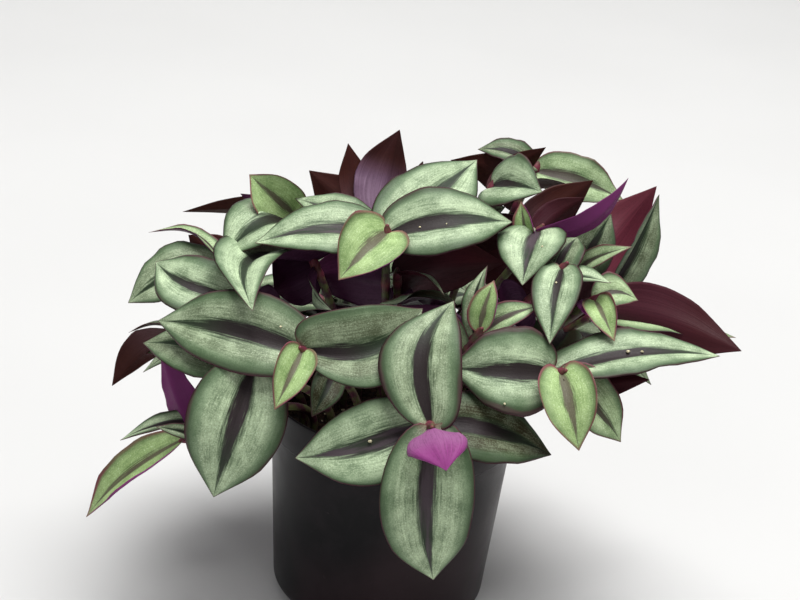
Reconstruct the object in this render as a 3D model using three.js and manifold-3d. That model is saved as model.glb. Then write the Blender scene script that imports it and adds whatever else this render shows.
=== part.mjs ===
// A tradescantia with striped leaves in a round black nursery pot.
// Millimetres, +Z up, the origin at the centre of the pot's base, the viewer on the -Y side.
import * as THREE from 'three';
import { mergeVertices } from 'three/addons/utils/BufferGeometryUtils.js';
import Module from 'manifold-3d';

const wasm = await Module();
wasm.setup();

// The pot
const POT_HEIGHT = 92;
const POT_TOP_RADIUS = 51.2;
const POT_BASE_RADIUS = 45.4;
const POT_BASE_ROUNDING = 7;
const POT_WALL = 1.6;
const POT_RIM_DEPTH = 16;
const POT_RIM_STEP = 1.4;
const POT_SIDES = 32;
const DRAIN_HOLES = 6;
const DRAIN_HOLE_RADIUS = 4;
const DRAIN_HOLE_CIRCLE = 29;
const DRAIN_HOLE_SIDES = 8;
const CUT_MARGIN = 1;

// The potting mix
const SOIL_TOP = 79;
const SOIL_CROWN = 3;
const SOIL_GAP = 0.3;
const SOIL_SIDE_GAP = 0.5;
const SOIL_EDGE = 1;
const SOIL_SHOULDER = 0.6;
const SOIL_SIDES = 24;

// The stems
const STEM_RADIUS = 1.7;
const STEM_SIDES = 5;
const STEM_STEPS = 6;
const HOLE_BOTTOM = 62;
const HOLE_CLEARANCE = 0.9;
const HOLE_SIDES = 6;
const HOLE_SPACING = 11;
const HOLE_REACH = 39;
const HOLE_PULL = 0.42;
const HOLE_ROUNDS = 200;
const STEM_STRAIGHT = 84;
const LAST_FOOT = 0.975;
const FOOT_STEP = 0.012;
const LEAST_RISE = 20;
const RISE_SHARE = 0.5;
const INWARD_SHARE = 0.35;
const STEM_SAG = 0.35;

// The leaf blades
const BLADE_THICKNESS = 0.8;
const BLADE_ROWS = [0, 0.05, 0.14, 0.36, 0.63, 0.86, 1];
const BLADE_NECK_ROWS = 2;
const BLADE_END_HALF_WIDTH = 0.5;
const BLADE_FOOT_HALF_WIDTH = 1.3;
const OUTLINE_FOOT_POWER = 0.5;
const OUTLINE_TIP_POWER = 0.85;
const OUTLINE_PEAK = 0.4107;
const CLEAR_GAP = 0.45;
const SLIVER = 0.06;
const BEND_DROP_COST = 80;
const MOST_BENDS = 400;
const CROSSING_ALLOWED = 20;
const CROSSING_COST = 0.25;
const ACROSS = [-1, 0, 1];
const CORNERS_A_ROW = 2 * ACROSS.length;
const WELD = 1e-4;
const STEM_CLEAR = 0.29;

// The front view in which the leaves were measured: how far it looks down and how far it leans
const VIEW_DOWN = THREE.MathUtils.degToRad(22);
const VIEW_LEAN = THREE.MathUtils.degToRad(5.6);

// Ways to bend a blade clear of the others: right, up and near in mm at its tip, and a step
// down its stem. The leaves in view mostly move along the line of sight, the hidden ones freely.
const SEEN_BENDS = listBends([0, 3], [0, 3], [0, 3, 6, 9, 12, 16, 20, 25], [0, 0.04, 0.08, 0.12]);
const HIDDEN_BENDS = listBends([0, 8, 16], [0, 6, 12, 18], [0, 8, 16], [0, 0.08, 0.16]);

function listBends(rights, ups, nears, drops) {
  const bends = [];
  for (const drop of drops) {
    for (const right of bothWays(rights)) {
      for (const up of bothWays(ups)) {
        for (const near of bothWays(nears)) {
          const effort = 2 * Math.abs(right) + 2 * Math.abs(up) + Math.abs(near) + BEND_DROP_COST * drop;
          bends.push({ right, up, near, drop, effort });
        }
      }
    }
  }
  return bends.sort((one, other) => one.effort - other.effort);
}

function bothWays(steps) {
  return steps.flatMap((step) => (step === 0 ? [0] : [step, -step]));
}

function blade(at, tip, width, face, arch = 0.1, fold = 14, bow = 0) {
  return { at, tip, width, face, arch, fold, bow };
}

// Each stem: where its end lies, and its leaves with the share of the stem they grow at, the
// tip, the width, the way the blade faces, its arch and its fold in degrees.
// Points are right, up and near of the middle of the pot's rim.
const SEEN_STEMS = [
  {
    name: 'stem_front_centre',
    end: [14, -7, 98],
    leaves: [
      blade(1, [19, -22, 112], 26, [-0.1, -0.5, -0.9], -0.16, 14),
      blade(1, [15, -68, 70], 37, [0.05, 0.35, 1], 0.15, 12, 0.05),
      blade(1, [23, 40, 72], 33, [-0.1, 0.3, 1], 0.1, 10, -0.14),
      blade(0.9, [-38, -20, 80], 33, [-0.15, 0.2, 1], 0.1, 12, -0.07),
      blade(0.88, [61, -20, 66], 31, [0.2, 0.6, 0.9], 0.1, 10),
    ],
  },
  {
    name: 'stem_front_left',
    end: [-36, 22, 80],
    leaves: [
      blade(1, [-45, -1, 92], 19, [0.1, 0.2, 1], 0.1, 32),
      blade(1, [11, 37, 73], 37, [0, 0.3, 1], 0.08, 24, 0.2),
      blade(0.97, [-94, 32, 52], 35, [-0.1, 0.5, 1], 0.1, 12),
      blade(0.75, [-32, -5, 70], 14, [0.3, 0.2, 1], 0.08, 16),
    ],
  },
  {
    name: 'stem_left_front',
    end: [-56, 14, 74],
    leaves: [
      blade(1, [-70, -36, 70], 39, [0.1, 0.3, 1], 0.14, 10),
      blade(0.95, [-101, 23, 43], 29, [-0.2, 0.8, 0.8], 0.1, 10),
    ],
  },
  {
    name: 'stem_left_low',
    end: [-84, -15, 60],
    leaves: [
      blade(1, [-124, -47, 42], 19, [-0.4, 0.6, 0.9], 0.08, 28),
      blade(0.97, [-93, 20, 48], 18, [0.5, 0.2, -1], 0.12, 20, 0.12),
      blade(0.94, [-110, -16, 44], 15, [-0.2, 1, 0.6], 0.1, 20),
      blade(1, [-93, -9, 66], 7, [0.4, 0.2, 1], 0.2, 30),
    ],
  },
  {
    name: 'stem_left',
    end: [-89, 25, 42],
    leaves: [
      blade(1, [-116, 5, 26], 20, [-0.6, 0.5, -0.9], 0.16, 16),
      blade(1, [-108, 27, 34], 9, [-0.2, 1, 0.1], 0.2, 24),
      blade(0.9, [-106, 18, 22], 16, [-0.5, 0.8, 0.6], 0.1, 14),
    ],
  },
  {
    name: 'stem_left_mid',
    end: [-66, 42, 40],
    leaves: [
      blade(1, [-98, 56, 26], 30, [-0.2, 0.7, 0.9], 0.1, 14, -0.15),
      blade(1, [-72, 24, 62], 22, [-0.3, 0.7, 0.9], 0.12, 20),
      blade(0.93, [-46, 32, 30], 24, [0.2, 0.3, -1], 0.1, 14),
    ],
  },
  {
    name: 'stem_left_back',
    end: [-76, 56, 6],
    leaves: [
      blade(1, [-112, 39, 8], 30, [-0.5, 0.6, 1], 0.14, 10),
      blade(1, [-105, 69, -4], 12, [-0.1, 1, 0.15], 0.22, 24),
      blade(0.96, [-88, 68, -4], 22, [-0.2, 0.4, -0.9], 0.14, 16),
    ],
  },
  {
    name: 'stem_upper_left',
    end: [-42, 78, 16],
    leaves: [
      blade(1, [-60, 92, 22], 24, [-0.2, 0.1, 1], 0.1, 24),
      blade(1, [-70, 57, 36], 38, [-0.3, 0.8, 0.9], 0.22, 10),
      blade(0.97, [-65, 85, 6], 15, [-0.4, 0.5, -0.8], 0.12, 16),
      blade(0.9, [-91, 78, -8], 16, [-0.2, 0.75, -0.6], 0.2, 18),
      blade(0.93, [-54, 36, 78], 34, [-0.1, 0.7, 0.7], 0.1, 26, 0.2),
      blade(0.86, [-25, 36, 44], 12, [-1, 0.2, -0.6], 0.1, 20),
      blade(0.93, [-50, 44, 20], 26, [0.2, 0.3, -1], 0.1, 14),
    ],
  },
  {
    name: 'stem_top',
    end: [-3, 70, 42],
    leaves: [
      blade(1, [-22, 48, 60], 29, [0.25, 0.6, 0.9], 0.12, 16),
      blade(1, [48, 72, 30], 33, [0, 0.5, 0.9], 0.1, 10),
      blade(1, [-56, 63, 36], 30, [0, 0.75, 0.75], 0.1, 10),
      blade(0.95, [-41, 82, 18], 22, [-0.2, 0.7, 0.6], 0.12, 12),
      blade(1, [35, 100, -4], 36, [-0.1, 0.4, 1], 0.02, 12),
      blade(0.85, [-40, 50, 22], 28, [0.1, 0.3, -1], 0.1, 14),
    ],
  },
  {
    name: 'stem_inner',
    end: [1, 53, 26],
    leaves: [
      blade(1, [-9, 36, 42], 17, [0.3, 0.1, -1], 0.12, 18),
      blade(1, [20, 42, 44], 8, [0.3, 1, 0.1], 0.14, 20),
      blade(0.85, [26, 38, 30], 20, [0.5, 1, 0.4], 0.12, 14),
      blade(1, [46, 56, 10], 29, [0, 0.4, -1], 0.1, 14),
    ],
  },
  {
    name: 'stem_back_top',
    end: [-8, 79, 2],
    leaves: [
      blade(1, [2, 113, -6], 25, [-0.25, 0.3, -1], 0.1, 14),
      blade(1, [-37, 96, -12], 27, [-0.3, 0.35, -0.9], 0.12, 12),
      blade(1, [-20, 107, -10], 19, [-0.5, 0.2, -0.8], 0.1, 18),
      blade(0.97, [12, 100, -12], 22, [0.5, 0.3, -0.8], 0.12, 16),
    ],
  },
  {
    name: 'stem_upper_right',
    end: [42, 91, -2],
    leaves: [
      blade(1, [61, 85, 18], 29, [0.1, 0.35, 1], 0.12, 16),
      blade(1, [64, 105, 0], 12, [0.2, 0.4, -0.9], 0.14, 22),
      blade(0.96, [46, 79, 18], 16, [-0.6, 0.3, 0.9], 0.1, 20),
      blade(0.9, [80, 88, -10], 24, [0.4, 1, -0.2], 0.14, 14),
      blade(0.88, [74, 51, -2], 26, [-0.1, 0.4, -0.9], 0.1, 14),
    ],
  },
  {
    name: 'stem_back_upper_right',
    end: [63, 101, -26],
    leaves: [
      blade(1, [36, 106, -24], 18, [0.1, 0.7, 0.7], 0.14, 12),
      blade(1, [100, 84, -24], 24, [0.1, 0.5, 1], 0.08, 14),
      blade(0.95, [60, 88, -62], 28, [0.2, 0.9, -0.6], 0.16, 12),
      blade(0.97, [24, 101, -17], 16, [-0.1, 0.5, -0.85], 0.12, 16, -0.14),
    ],
  },
  {
    name: 'stem_right_top',
    end: [61, 71, 22],
    leaves: [
      blade(1, [51, 46, 46], 29, [-0.25, 0.5, 1], 0.12, 12),
      blade(1, [52, 81, 22], 11, [-0.5, 0.3, 1], 0.1, 28),
      blade(1, [79, 83, 16], 15, [0.2, 0.5, -0.9], 0.1, 24),
      blade(1, [97, 91, 16], 13, [-0.2, 0.7, -0.7], -0.2, 16),
      blade(0.96, [84, 91, 0], 24, [0.1, 0.5, -0.9], 0.1, 14),
    ],
  },
  {
    name: 'stem_right_mid_left',
    end: [69, 55, 44],
    leaves: [
      blade(1, [60, 23, 70], 21, [-0.2, 0.3, 1], 0.1, 16),
      blade(1, [75, 66, 26], 19, [-0.1, 0.7, 0.7], 0.1, 14),
      blade(0.9, [86, 47, 50], 20, [0.3, 0.9, 0.6], 0.12, 16),
      blade(0.85, [44, 34, 34], 24, [0, 0.3, -1], 0.1, 14),
    ],
  },
  {
    name: 'stem_right_mid',
    end: [82, 42, 44],
    leaves: [
      blade(1, [86, 24, 62], 15, [-0.1, 0.3, 1], 0.1, 26),
      blade(1, [98, 40, 40], 18, [0.1, 0.6, 0.9], 0.1, 14, -0.15),
      blade(1, [78, 33, 56], 11, [-0.5, 0.2, -0.8], 0.1, 16),
    ],
  },
  {
    name: 'stem_right_front',
    end: [66, 13, 72],
    leaves: [
      blade(1, [70, -17, 84], 25, [-0.05, 0.3, 1], 0.14, 18),
      blade(1, [21, 14, 72], 37, [0, 0.4, 1], 0.1, 10, -0.04),
      blade(1, [88, -15, 66], 24, [0.3, 0.3, 1], 0.12, 14),
      blade(0.97, [129, 18, 52], 28, [0.1, 0.85, 0.65], 0.08, 12),
      blade(0.94, [100, 9, 60], 16, [0.3, -0.3, -1], 0.1, 14),
    ],
  },
  {
    name: 'stem_inner_right',
    end: [34, 29, 64],
    leaves: [
      blade(1, [39, 48, 60], 14, [-0.3, 0.2, 1], 0.08, 30),
      blade(1, [37, 54, 50], 12, [-0.8, 0.3, 0.8], 0.1, 22),
      blade(1, [58, 38, 60], 16, [0.1, 0.8, 0.8], 0.12, 18),
      blade(0.95, [22, 37, 58], 16, [-0.3, 0.6, 0.9], 0.1, 18),
      blade(0.9, [2, 38, 34], 26, [-0.2, 0.3, -1], 0.1, 14),
    ],
  },
  {
    name: 'stem_right',
    end: [88, 38, 28],
    leaves: [
      blade(1, [144, 19, 16], 30, [0.2, -0.3, -1], 0.12, 12, 0.08),
      blade(0.95, [147, 24, -14], 20, [0.2, 0.8, 0.6], 0.02, 12),
      blade(0.85, [58, 10, 30], 26, [-0.3, 0.5, 1], 0.1, 14),
    ],
  },
  {
    name: 'stem_back_right',
    end: [84, 56, 12],
    leaves: [
      blade(0.95, [90, 76, 18], 22, [-0.2, 0.3, 1], 0.08, 12),
      blade(1, [112, 89, -8], 27, [0.3, 0.3, -1], 0.16, 14),
      blade(1, [97, 62, 30], 12, [0.2, 0.6, 0.8], 0.12, 16),
      blade(0.9, [32, 60, -5], 30, [0, 0.3, -1], 0.1, 14),
      blade(1, [74, 28, 14], 24, [0, 0.2, -1], 0.1, 14),
    ],
  },
  {
    name: 'stem_far_right',
    end: [92, 46, 8],
    leaves: [
      blade(1, [112, 85, 0], 26, [0.8, 0, 0.6], 0.02, 28),
    ],
  },
];

// The stems the photo hides, by rule: round the back from the right to the left, and below
const FILLER_SEED = 41;
const FILLER_SWING = 10;
const FILLER_SCATTER = 12;
const FILLER_TURN_SCATTER = 16;
const FILLER_FALL_SCATTER = 0.16;
const FILLER_SHORTEST = 0.9;
const FILLER_WIDTH_SHARE = 0.54;
const FILLER_FACE_TILT = 0.3;
const FILLER_ARCH = 0.13;
const FILLER_FOLD = 12;
// Each leaf of a hidden stem: its heading in degrees from the stem's own, the share of the stem
// it grows at, its size and how steeply it falls
const FILLER_LEAVES = [
  { turn: -62, at: 1, size: 0.95, fall: 0.2 },
  { turn: 58, at: 0.96, size: 1, fall: 0.3 },
  { turn: -4, at: 0.92, size: 0.95, fall: 0.5 },
  { turn: 180, at: 0.9, size: 0.8, fall: -0.2 },
];
const FILLER_RINGS = [
  { name: 'back_low', count: 5, from: 36, to: 150, reach: 72, height: 106, length: 54 },
  { name: 'back_high', count: 3, from: 72, to: 140, reach: 50, height: 128, length: 46 },
];

function makeRandom(seed) {
  let state = seed >>> 0;
  return () => {
    state = (Math.imul(state, 1664525) + 1013904223) >>> 0;
    return state / 4294967296;
  };
}

// The view's own directions in the room
const VIEW_UP = new THREE.Vector3(0, Math.sin(VIEW_DOWN), Math.cos(VIEW_DOWN));
const VIEW_NEAR = new THREE.Vector3(0, -Math.cos(VIEW_DOWN), Math.sin(VIEW_DOWN));
const LEAN_RIGHT = new THREE.Vector3(1, 0, 0).multiplyScalar(Math.cos(VIEW_LEAN))
  .addScaledVector(VIEW_UP, Math.sin(VIEW_LEAN));
const LEAN_UP = new THREE.Vector3(1, 0, 0).multiplyScalar(-Math.sin(VIEW_LEAN))
  .addScaledVector(VIEW_UP, Math.cos(VIEW_LEAN));
const RIM_CENTRE = new THREE.Vector3(0, 0, POT_HEIGHT);

function turnFromView([right, up, near]) {
  return new THREE.Vector3()
    .addScaledVector(LEAN_RIGHT, right)
    .addScaledVector(LEAN_UP, up)
    .addScaledVector(VIEW_NEAR, near);
}

function placeFromView(point) {
  return turnFromView(point).add(RIM_CENTRE);
}

function seenStem(row) {
  return {
    name: row.name,
    hidden: false,
    bends: SEEN_BENDS,
    end: placeFromView(row.end),
    leaves: row.leaves.map((leaf, order) => ({
      ...leaf,
      order,
      tip: placeFromView(leaf.tip),
      face: turnFromView(leaf.face).normalize(),
    })),
  };
}

function polar(angle, reach, height) {
  return new THREE.Vector3(reach * Math.cos(angle), reach * Math.sin(angle), height);
}

function scatter(random, range) {
  return (random() - 0.5) * range;
}

function fillerLeaf(ring, kind, angle, end, order, random) {
  const turn = kind.turn + scatter(random, FILLER_TURN_SCATTER);
  const heading = angle + THREE.MathUtils.degToRad(turn);
  const length = ring.length * kind.size * (FILLER_SHORTEST + random() * (1 - FILLER_SHORTEST) * 2);
  const fall = kind.fall + scatter(random, FILLER_FALL_SCATTER);
  return {
    at: kind.at,
    tip: end.clone().add(polar(heading, length * Math.cos(fall), -length * Math.sin(fall))),
    width: length * FILLER_WIDTH_SHARE,
    face: polar(heading, FILLER_FACE_TILT, 1).normalize(),
    arch: FILLER_ARCH,
    fold: FILLER_FOLD,
    bow: 0,
    order,
  };
}

function fillerStem(ring, index, random) {
  const step = (ring.to - ring.from) / (ring.count - 1);
  const angle = THREE.MathUtils.degToRad(ring.from + step * index + scatter(random, FILLER_SWING));
  const reach = ring.reach + scatter(random, FILLER_SCATTER);
  const end = polar(angle, reach, ring.height + scatter(random, FILLER_SCATTER));
  return {
    name: `stem_${ring.name}_${index + 1}`,
    hidden: true,
    bends: HIDDEN_BENDS,
    end,
    leaves: FILLER_LEAVES.map((kind, order) => fillerLeaf(ring, kind, angle, end, order, random)),
  };
}

function listStems() {
  const random = makeRandom(FILLER_SEED);
  const stems = SEEN_STEMS.map(seenStem);
  for (const ring of FILLER_RINGS) {
    for (let index = 0; index < ring.count; index += 1) {
      stems.push(fillerStem(ring, index, random));
    }
  }
  return stems;
}

// Each hole starts under its own stem's end and is pushed away from holes that come too near
function spreadHoles(stems) {
  const holes = stems.map((stem) => new THREE.Vector2(stem.end.x, stem.end.y).multiplyScalar(HOLE_PULL));
  for (let round = 0; round < HOLE_ROUNDS; round += 1) {
    for (let first = 0; first < holes.length; first += 1) {
      for (let second = first + 1; second < holes.length; second += 1) {
        pushApart(holes[first], holes[second]);
      }
    }
    holes.forEach((hole) => hole.clampLength(0, HOLE_REACH));
  }
  return holes;
}

function pushApart(one, other) {
  const away = one.clone().sub(other);
  const lack = HOLE_SPACING - away.length();
  if (lack > 0) {
    away.setLength(lack / 2);
    one.add(away);
    other.sub(away);
  }
}

function stemPath(stem, hole) {
  const foot = new THREE.Vector3(hole.x, hole.y, HOLE_BOTTOM + SOIL_GAP);
  const top = new THREE.Vector3(hole.x, hole.y, STEM_STRAIGHT);
  const rise = Math.max(LEAST_RISE, (stem.end.z - STEM_STRAIGHT) * RISE_SHARE);
  const lift = top.clone().add(new THREE.Vector3(0, 0, rise));
  const across = stem.end.clone().sub(top);
  const length = across.length();
  const heading = across.divideScalar(length);
  heading.z -= STEM_SAG * Math.hypot(heading.x, heading.y);
  const inward = stem.end.clone().addScaledVector(heading.normalize(), -length * INWARD_SHARE);
  const path = new THREE.CurvePath();
  path.add(new THREE.LineCurve3(foot, top));
  path.add(new THREE.CubicBezierCurve3(top, lift, inward, stem.end));
  return path;
}

// A point on the stem's centre line, at a share of its length. Every blade starts a little
// before the stem's end, so its foot is sunk in the stem.
function pointOnStem(path, share) {
  const points = path.getSpacedPoints(STEM_STEPS);
  const position = Math.min(share * LAST_FOOT, 1) * STEM_STEPS;
  const before = Math.min(Math.floor(position), STEM_STEPS - 1);
  return points[before].clone().lerp(points[before + 1], position - before);
}

function ringShape(radius, sides) {
  const shape = new THREE.Shape();
  for (let corner = 0; corner < sides; corner += 1) {
    const angle = (2 * Math.PI * corner) / sides;
    const x = radius * Math.cos(angle);
    const y = radius * Math.sin(angle);
    if (corner === 0) shape.moveTo(x, y);
    else shape.lineTo(x, y);
  }
  shape.closePath();
  return shape;
}

function stemTube(path) {
  const shape = ringShape(STEM_RADIUS, STEM_SIDES);
  return new THREE.ExtrudeGeometry(shape, { steps: STEM_STEPS, extrudePath: path, curveSegments: 1 });
}

// Half of the blade's width at a share of its length, for a blade that is 2 wide
function outline(share) {
  const raised = Math.pow(share, OUTLINE_FOOT_POWER) * Math.pow(1 - share, OUTLINE_TIP_POWER);
  return raised / OUTLINE_PEAK;
}

function halfWidth(leaf, share) {
  if (share < BLADE_ROWS[BLADE_NECK_ROWS]) return BLADE_FOOT_HALF_WIDTH;
  return Math.max(BLADE_END_HALF_WIDTH, (leaf.width / 2) * outline(share));
}

// A point of the blade: share runs from foot to tip, across from one edge to the other
function bladePoint(leaf, foot, tip, share, across, rise) {
  const along = tip.clone().sub(foot);
  const length = along.length();
  along.divideScalar(length);
  const up = leaf.face.clone().addScaledVector(along, -leaf.face.dot(along)).normalize();
  const side = along.clone().cross(up);
  const height = leaf.arch * Math.sin(Math.PI * share);
  const slope = leaf.arch * Math.PI * Math.cos(Math.PI * share);
  const normal = up.clone().addScaledVector(along, -slope).normalize();
  const reach = halfWidth(leaf, share) * across;
  const fold = THREE.MathUtils.degToRad(leaf.fold);
  return foot.clone()
    .addScaledVector(along, length * share)
    .addScaledVector(up, length * height)
    .addScaledVector(side, length * leaf.bow * Math.sin(Math.PI * share) + reach * Math.cos(fold))
    .addScaledVector(normal, Math.abs(reach) * Math.sin(fold) + rise);
}

// Both faces are split alike, so they can't cross
function bladeGeometry(leaf, foot, tip) {
  const positions = [];
  for (const share of BLADE_ROWS) {
    for (const rise of [BLADE_THICKNESS / 2, -BLADE_THICKNESS / 2]) {
      for (const across of ACROSS) {
        const point = bladePoint(leaf, foot, tip, share, across, rise);
        positions.push(point.x, point.y, point.z);
      }
    }
  }
  const geometry = new THREE.BufferGeometry();
  geometry.setAttribute('position', new THREE.Float32BufferAttribute(positions, 3));
  geometry.setIndex(bladeTriangles(BLADE_ROWS.length));
  return geometry;
}

function bladeTriangles(rows) {
  const index = [];
  const quad = (a, b, c, d) => index.push(a, b, c, a, c, d);
  const under = ACROSS.length;
  const edge = under - 1;
  for (let row = 0; row < rows - 1; row += 1) {
    const here = row * CORNERS_A_ROW;
    const next = here + CORNERS_A_ROW;
    for (let column = 0; column < edge; column += 1) {
      quad(here + column, here + column + 1, next + column + 1, next + column);
      const low = here + under + column;
      const lowNext = next + under + column;
      index.push(low, lowNext + 1, low + 1, low, lowNext, lowNext + 1);
    }
    quad(here, next, next + under, here + under);
    quad(here + edge, here + under + edge, next + under + edge, next + edge);
  }
  closeEnd(quad, 0, true);
  closeEnd(quad, (rows - 1) * CORNERS_A_ROW, false);
  return index;
}

function closeEnd(quad, start, isFoot) {
  const under = start + ACROSS.length;
  for (let column = 0; column < ACROSS.length - 1; column += 1) {
    const corners = [start + column, under + column, under + column + 1, start + column + 1];
    if (!isFoot) corners.reverse();
    quad(...corners);
  }
}

function toSolid(geometry) {
  const bare = geometry.clone();
  bare.deleteAttribute('normal');
  bare.deleteAttribute('uv');
  const merged = mergeVertices(bare, WELD);
  return new wasm.Manifold(new wasm.Mesh({
    numProp: 3,
    vertProperties: new Float32Array(merged.attributes.position.array),
    triVerts: new Uint32Array(merged.index.array),
  }));
}

function toGeometry(solid) {
  const mesh = solid.getMesh();
  const geometry = new THREE.BufferGeometry();
  geometry.setAttribute('position', new THREE.Float32BufferAttribute(mesh.vertProperties, 3));
  geometry.setIndex(new THREE.Uint32BufferAttribute(mesh.triVerts, 1));
  geometry.computeVertexNormals();
  return geometry;
}

function potProfile() {
  const wallTop = POT_HEIGHT - POT_RIM_DEPTH;
  const taper = (POT_TOP_RADIUS - POT_BASE_RADIUS) / wallTop;
  const points = [[0, 0], [POT_BASE_RADIUS - POT_BASE_ROUNDING, 0]];
  for (const turn of [45, 90]) {
    const angle = THREE.MathUtils.degToRad(turn);
    const outward = POT_BASE_ROUNDING * Math.sin(angle);
    const lift = POT_BASE_ROUNDING * (1 - Math.cos(angle));
    points.push([POT_BASE_RADIUS - POT_BASE_ROUNDING + outward + taper * lift, lift]);
  }
  points.push([POT_TOP_RADIUS, wallTop]);
  points.push([POT_TOP_RADIUS + POT_RIM_STEP, wallTop + POT_RIM_STEP]);
  points.push([POT_TOP_RADIUS + POT_RIM_STEP, POT_HEIGHT]);
  points.push([POT_TOP_RADIUS + POT_RIM_STEP - POT_WALL, POT_HEIGHT]);
  points.push([POT_TOP_RADIUS + POT_RIM_STEP - POT_WALL, wallTop + POT_RIM_STEP]);
  points.push([POT_TOP_RADIUS - POT_WALL, wallTop - POT_RIM_STEP]);
  points.push([POT_BASE_RADIUS - POT_WALL + taper * POT_BASE_ROUNDING, POT_BASE_ROUNDING]);
  points.push([POT_BASE_RADIUS - POT_BASE_ROUNDING, POT_WALL]);
  points.push([0, POT_WALL]);
  return points.map(([x, y]) => new THREE.Vector2(x, y));
}

// A profile drawn upward along Z and turned round it
function latheSolid(profile, sides) {
  const geometry = new THREE.LatheGeometry(profile, sides);
  geometry.rotateX(Math.PI / 2);
  return toSolid(geometry);
}

function postSolid(x, y, bottom, top, radius, sides) {
  const geometry = new THREE.CylinderGeometry(radius, radius, top - bottom, sides);
  geometry.rotateX(Math.PI / 2);
  geometry.translate(x, y, (top + bottom) / 2);
  return toSolid(geometry);
}

function makePot() {
  let pot = latheSolid(potProfile(), POT_SIDES);
  for (let hole = 0; hole < DRAIN_HOLES; hole += 1) {
    const angle = (2 * Math.PI * hole) / DRAIN_HOLES;
    const x = DRAIN_HOLE_CIRCLE * Math.cos(angle);
    const y = DRAIN_HOLE_CIRCLE * Math.sin(angle);
    pot = pot.subtract(postSolid(x, y, -CUT_MARGIN, POT_WALL + CUT_MARGIN, DRAIN_HOLE_RADIUS, DRAIN_HOLE_SIDES));
  }
  return pot;
}

function soilProfile() {
  const wallTop = POT_HEIGHT - POT_RIM_DEPTH;
  const taper = (POT_TOP_RADIUS - POT_BASE_RADIUS) / wallTop;
  const inner = POT_WALL + SOIL_SIDE_GAP;
  const bottom = POT_WALL + SOIL_GAP;
  return [
    [0, bottom],
    [POT_BASE_RADIUS - POT_BASE_ROUNDING - SOIL_EDGE, bottom],
    [POT_BASE_RADIUS - inner + taper * POT_BASE_ROUNDING - SOIL_GAP, POT_BASE_ROUNDING + SOIL_EDGE],
    [POT_TOP_RADIUS - inner, wallTop - POT_RIM_STEP],
    [POT_TOP_RADIUS - inner, SOIL_TOP - SOIL_EDGE],
    [POT_TOP_RADIUS - inner - SOIL_EDGE, SOIL_TOP],
    [POT_TOP_RADIUS * SOIL_SHOULDER, SOIL_TOP + SOIL_CROWN * SOIL_SHOULDER],
    [0, SOIL_TOP + SOIL_CROWN],
  ].map(([x, y]) => new THREE.Vector2(x, y));
}

function makeSoil(holes) {
  const radius = STEM_RADIUS + HOLE_CLEARANCE;
  const bored = holes.map((hole) => postSolid(hole.x, hole.y, HOLE_BOTTOM, POT_HEIGHT, radius, HOLE_SIDES));
  return latheSolid(soilProfile(), SOIL_SIDES).subtract(wasm.Manifold.union(bored));
}

function boxesNear(one, other, reach) {
  for (let axis = 0; axis < 3; axis += 1) {
    if (one.min[axis] - reach > other.max[axis]) return false;
    if (other.min[axis] - reach > one.max[axis]) return false;
  }
  return true;
}

// The smallest gap to what belongs to other stems or to the pot, capped at twice the wanted gap
function smallestGap(solid, owner, placed) {
  const box = solid.boundingBox();
  let smallest = CLEAR_GAP * 2;
  for (const other of placed) {
    if (other.owner !== owner && boxesNear(box, other.box, CLEAR_GAP)) {
      smallest = Math.min(smallest, solid.minGap(other.solid, CLEAR_GAP * 2));
    }
  }
  return smallest;
}

function keep(solid, owner, placed) {
  placed.push({ solid, owner, box: solid.boundingBox() });
}

// How much a blade crosses the blades of its own stem
function siblingCrossing(solid, owner, placed) {
  let crossing = 0;
  const box = solid.boundingBox();
  for (const other of placed) {
    if (other.owner === owner && other.isBlade && boxesNear(box, other.box, 0)) {
      crossing += solid.intersect(other.solid).numTri();
    }
  }
  return crossing;
}

function bentBlade(leaf, path, bend) {
  const foot = pointOnStem(path, leaf.at - bend.drop - FOOT_STEP * leaf.order);
  const tip = leaf.tip.clone().add(turnFromView([bend.right, bend.up, bend.near]));
  return toSolid(bladeGeometry(leaf, foot, tip));
}

// Keeps clear of all other stems, and bends as little as keeps it from crossing its own leaves.
// A hidden leaf that finds no room isn't grown.
function placeBlade(leaf, stem, path, placed) {
  let best = null;
  for (const bend of stem.bends.slice(0, MOST_BENDS)) {
    if (best !== null && best.clear && bend.effort > best.score) break;
    const solid = bentBlade(leaf, path, bend);
    const gap = smallestGap(solid, stem.name, placed);
    const clear = gap >= CLEAR_GAP;
    if (!clear && best !== null && (best.clear || best.gap >= gap)) continue;
    const crossing = clear ? siblingCrossing(solid, stem.name, placed) : 0;
    const extra = Math.max(0, crossing - CROSSING_ALLOWED) * CROSSING_COST;
    const score = bend.effort + extra;
    if (best === null || (clear && !best.clear) || score < best.score) {
      best = { solid, gap, clear, score, bend, crossing };
    }
  }
  if (!best.clear && stem.hidden) return null;
  if (!best.clear) console.log('tight', stem.name, leaf.tip.toArray().map(Math.round), best.gap);
  placed.push({ solid: best.solid, owner: stem.name, box: best.solid.boundingBox(), isBlade: true });
  return best.solid;
}

function leafMaterial() {
  return new THREE.MeshStandardMaterial({ color: 0x6f8a68, roughness: 0.5, metalness: 0 });
}

function potMaterial() {
  return new THREE.MeshStandardMaterial({ color: 0x1c1c20, roughness: 0.45, metalness: 0 });
}

function soilMaterial() {
  return new THREE.MeshStandardMaterial({ color: 0x3a2a1e, roughness: 0.95, metalness: 0 });
}

function addNode(group, name, solid, material) {
  const mesh = new THREE.Mesh(toGeometry(solid), material);
  mesh.name = name;
  group.add(mesh);
}

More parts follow.
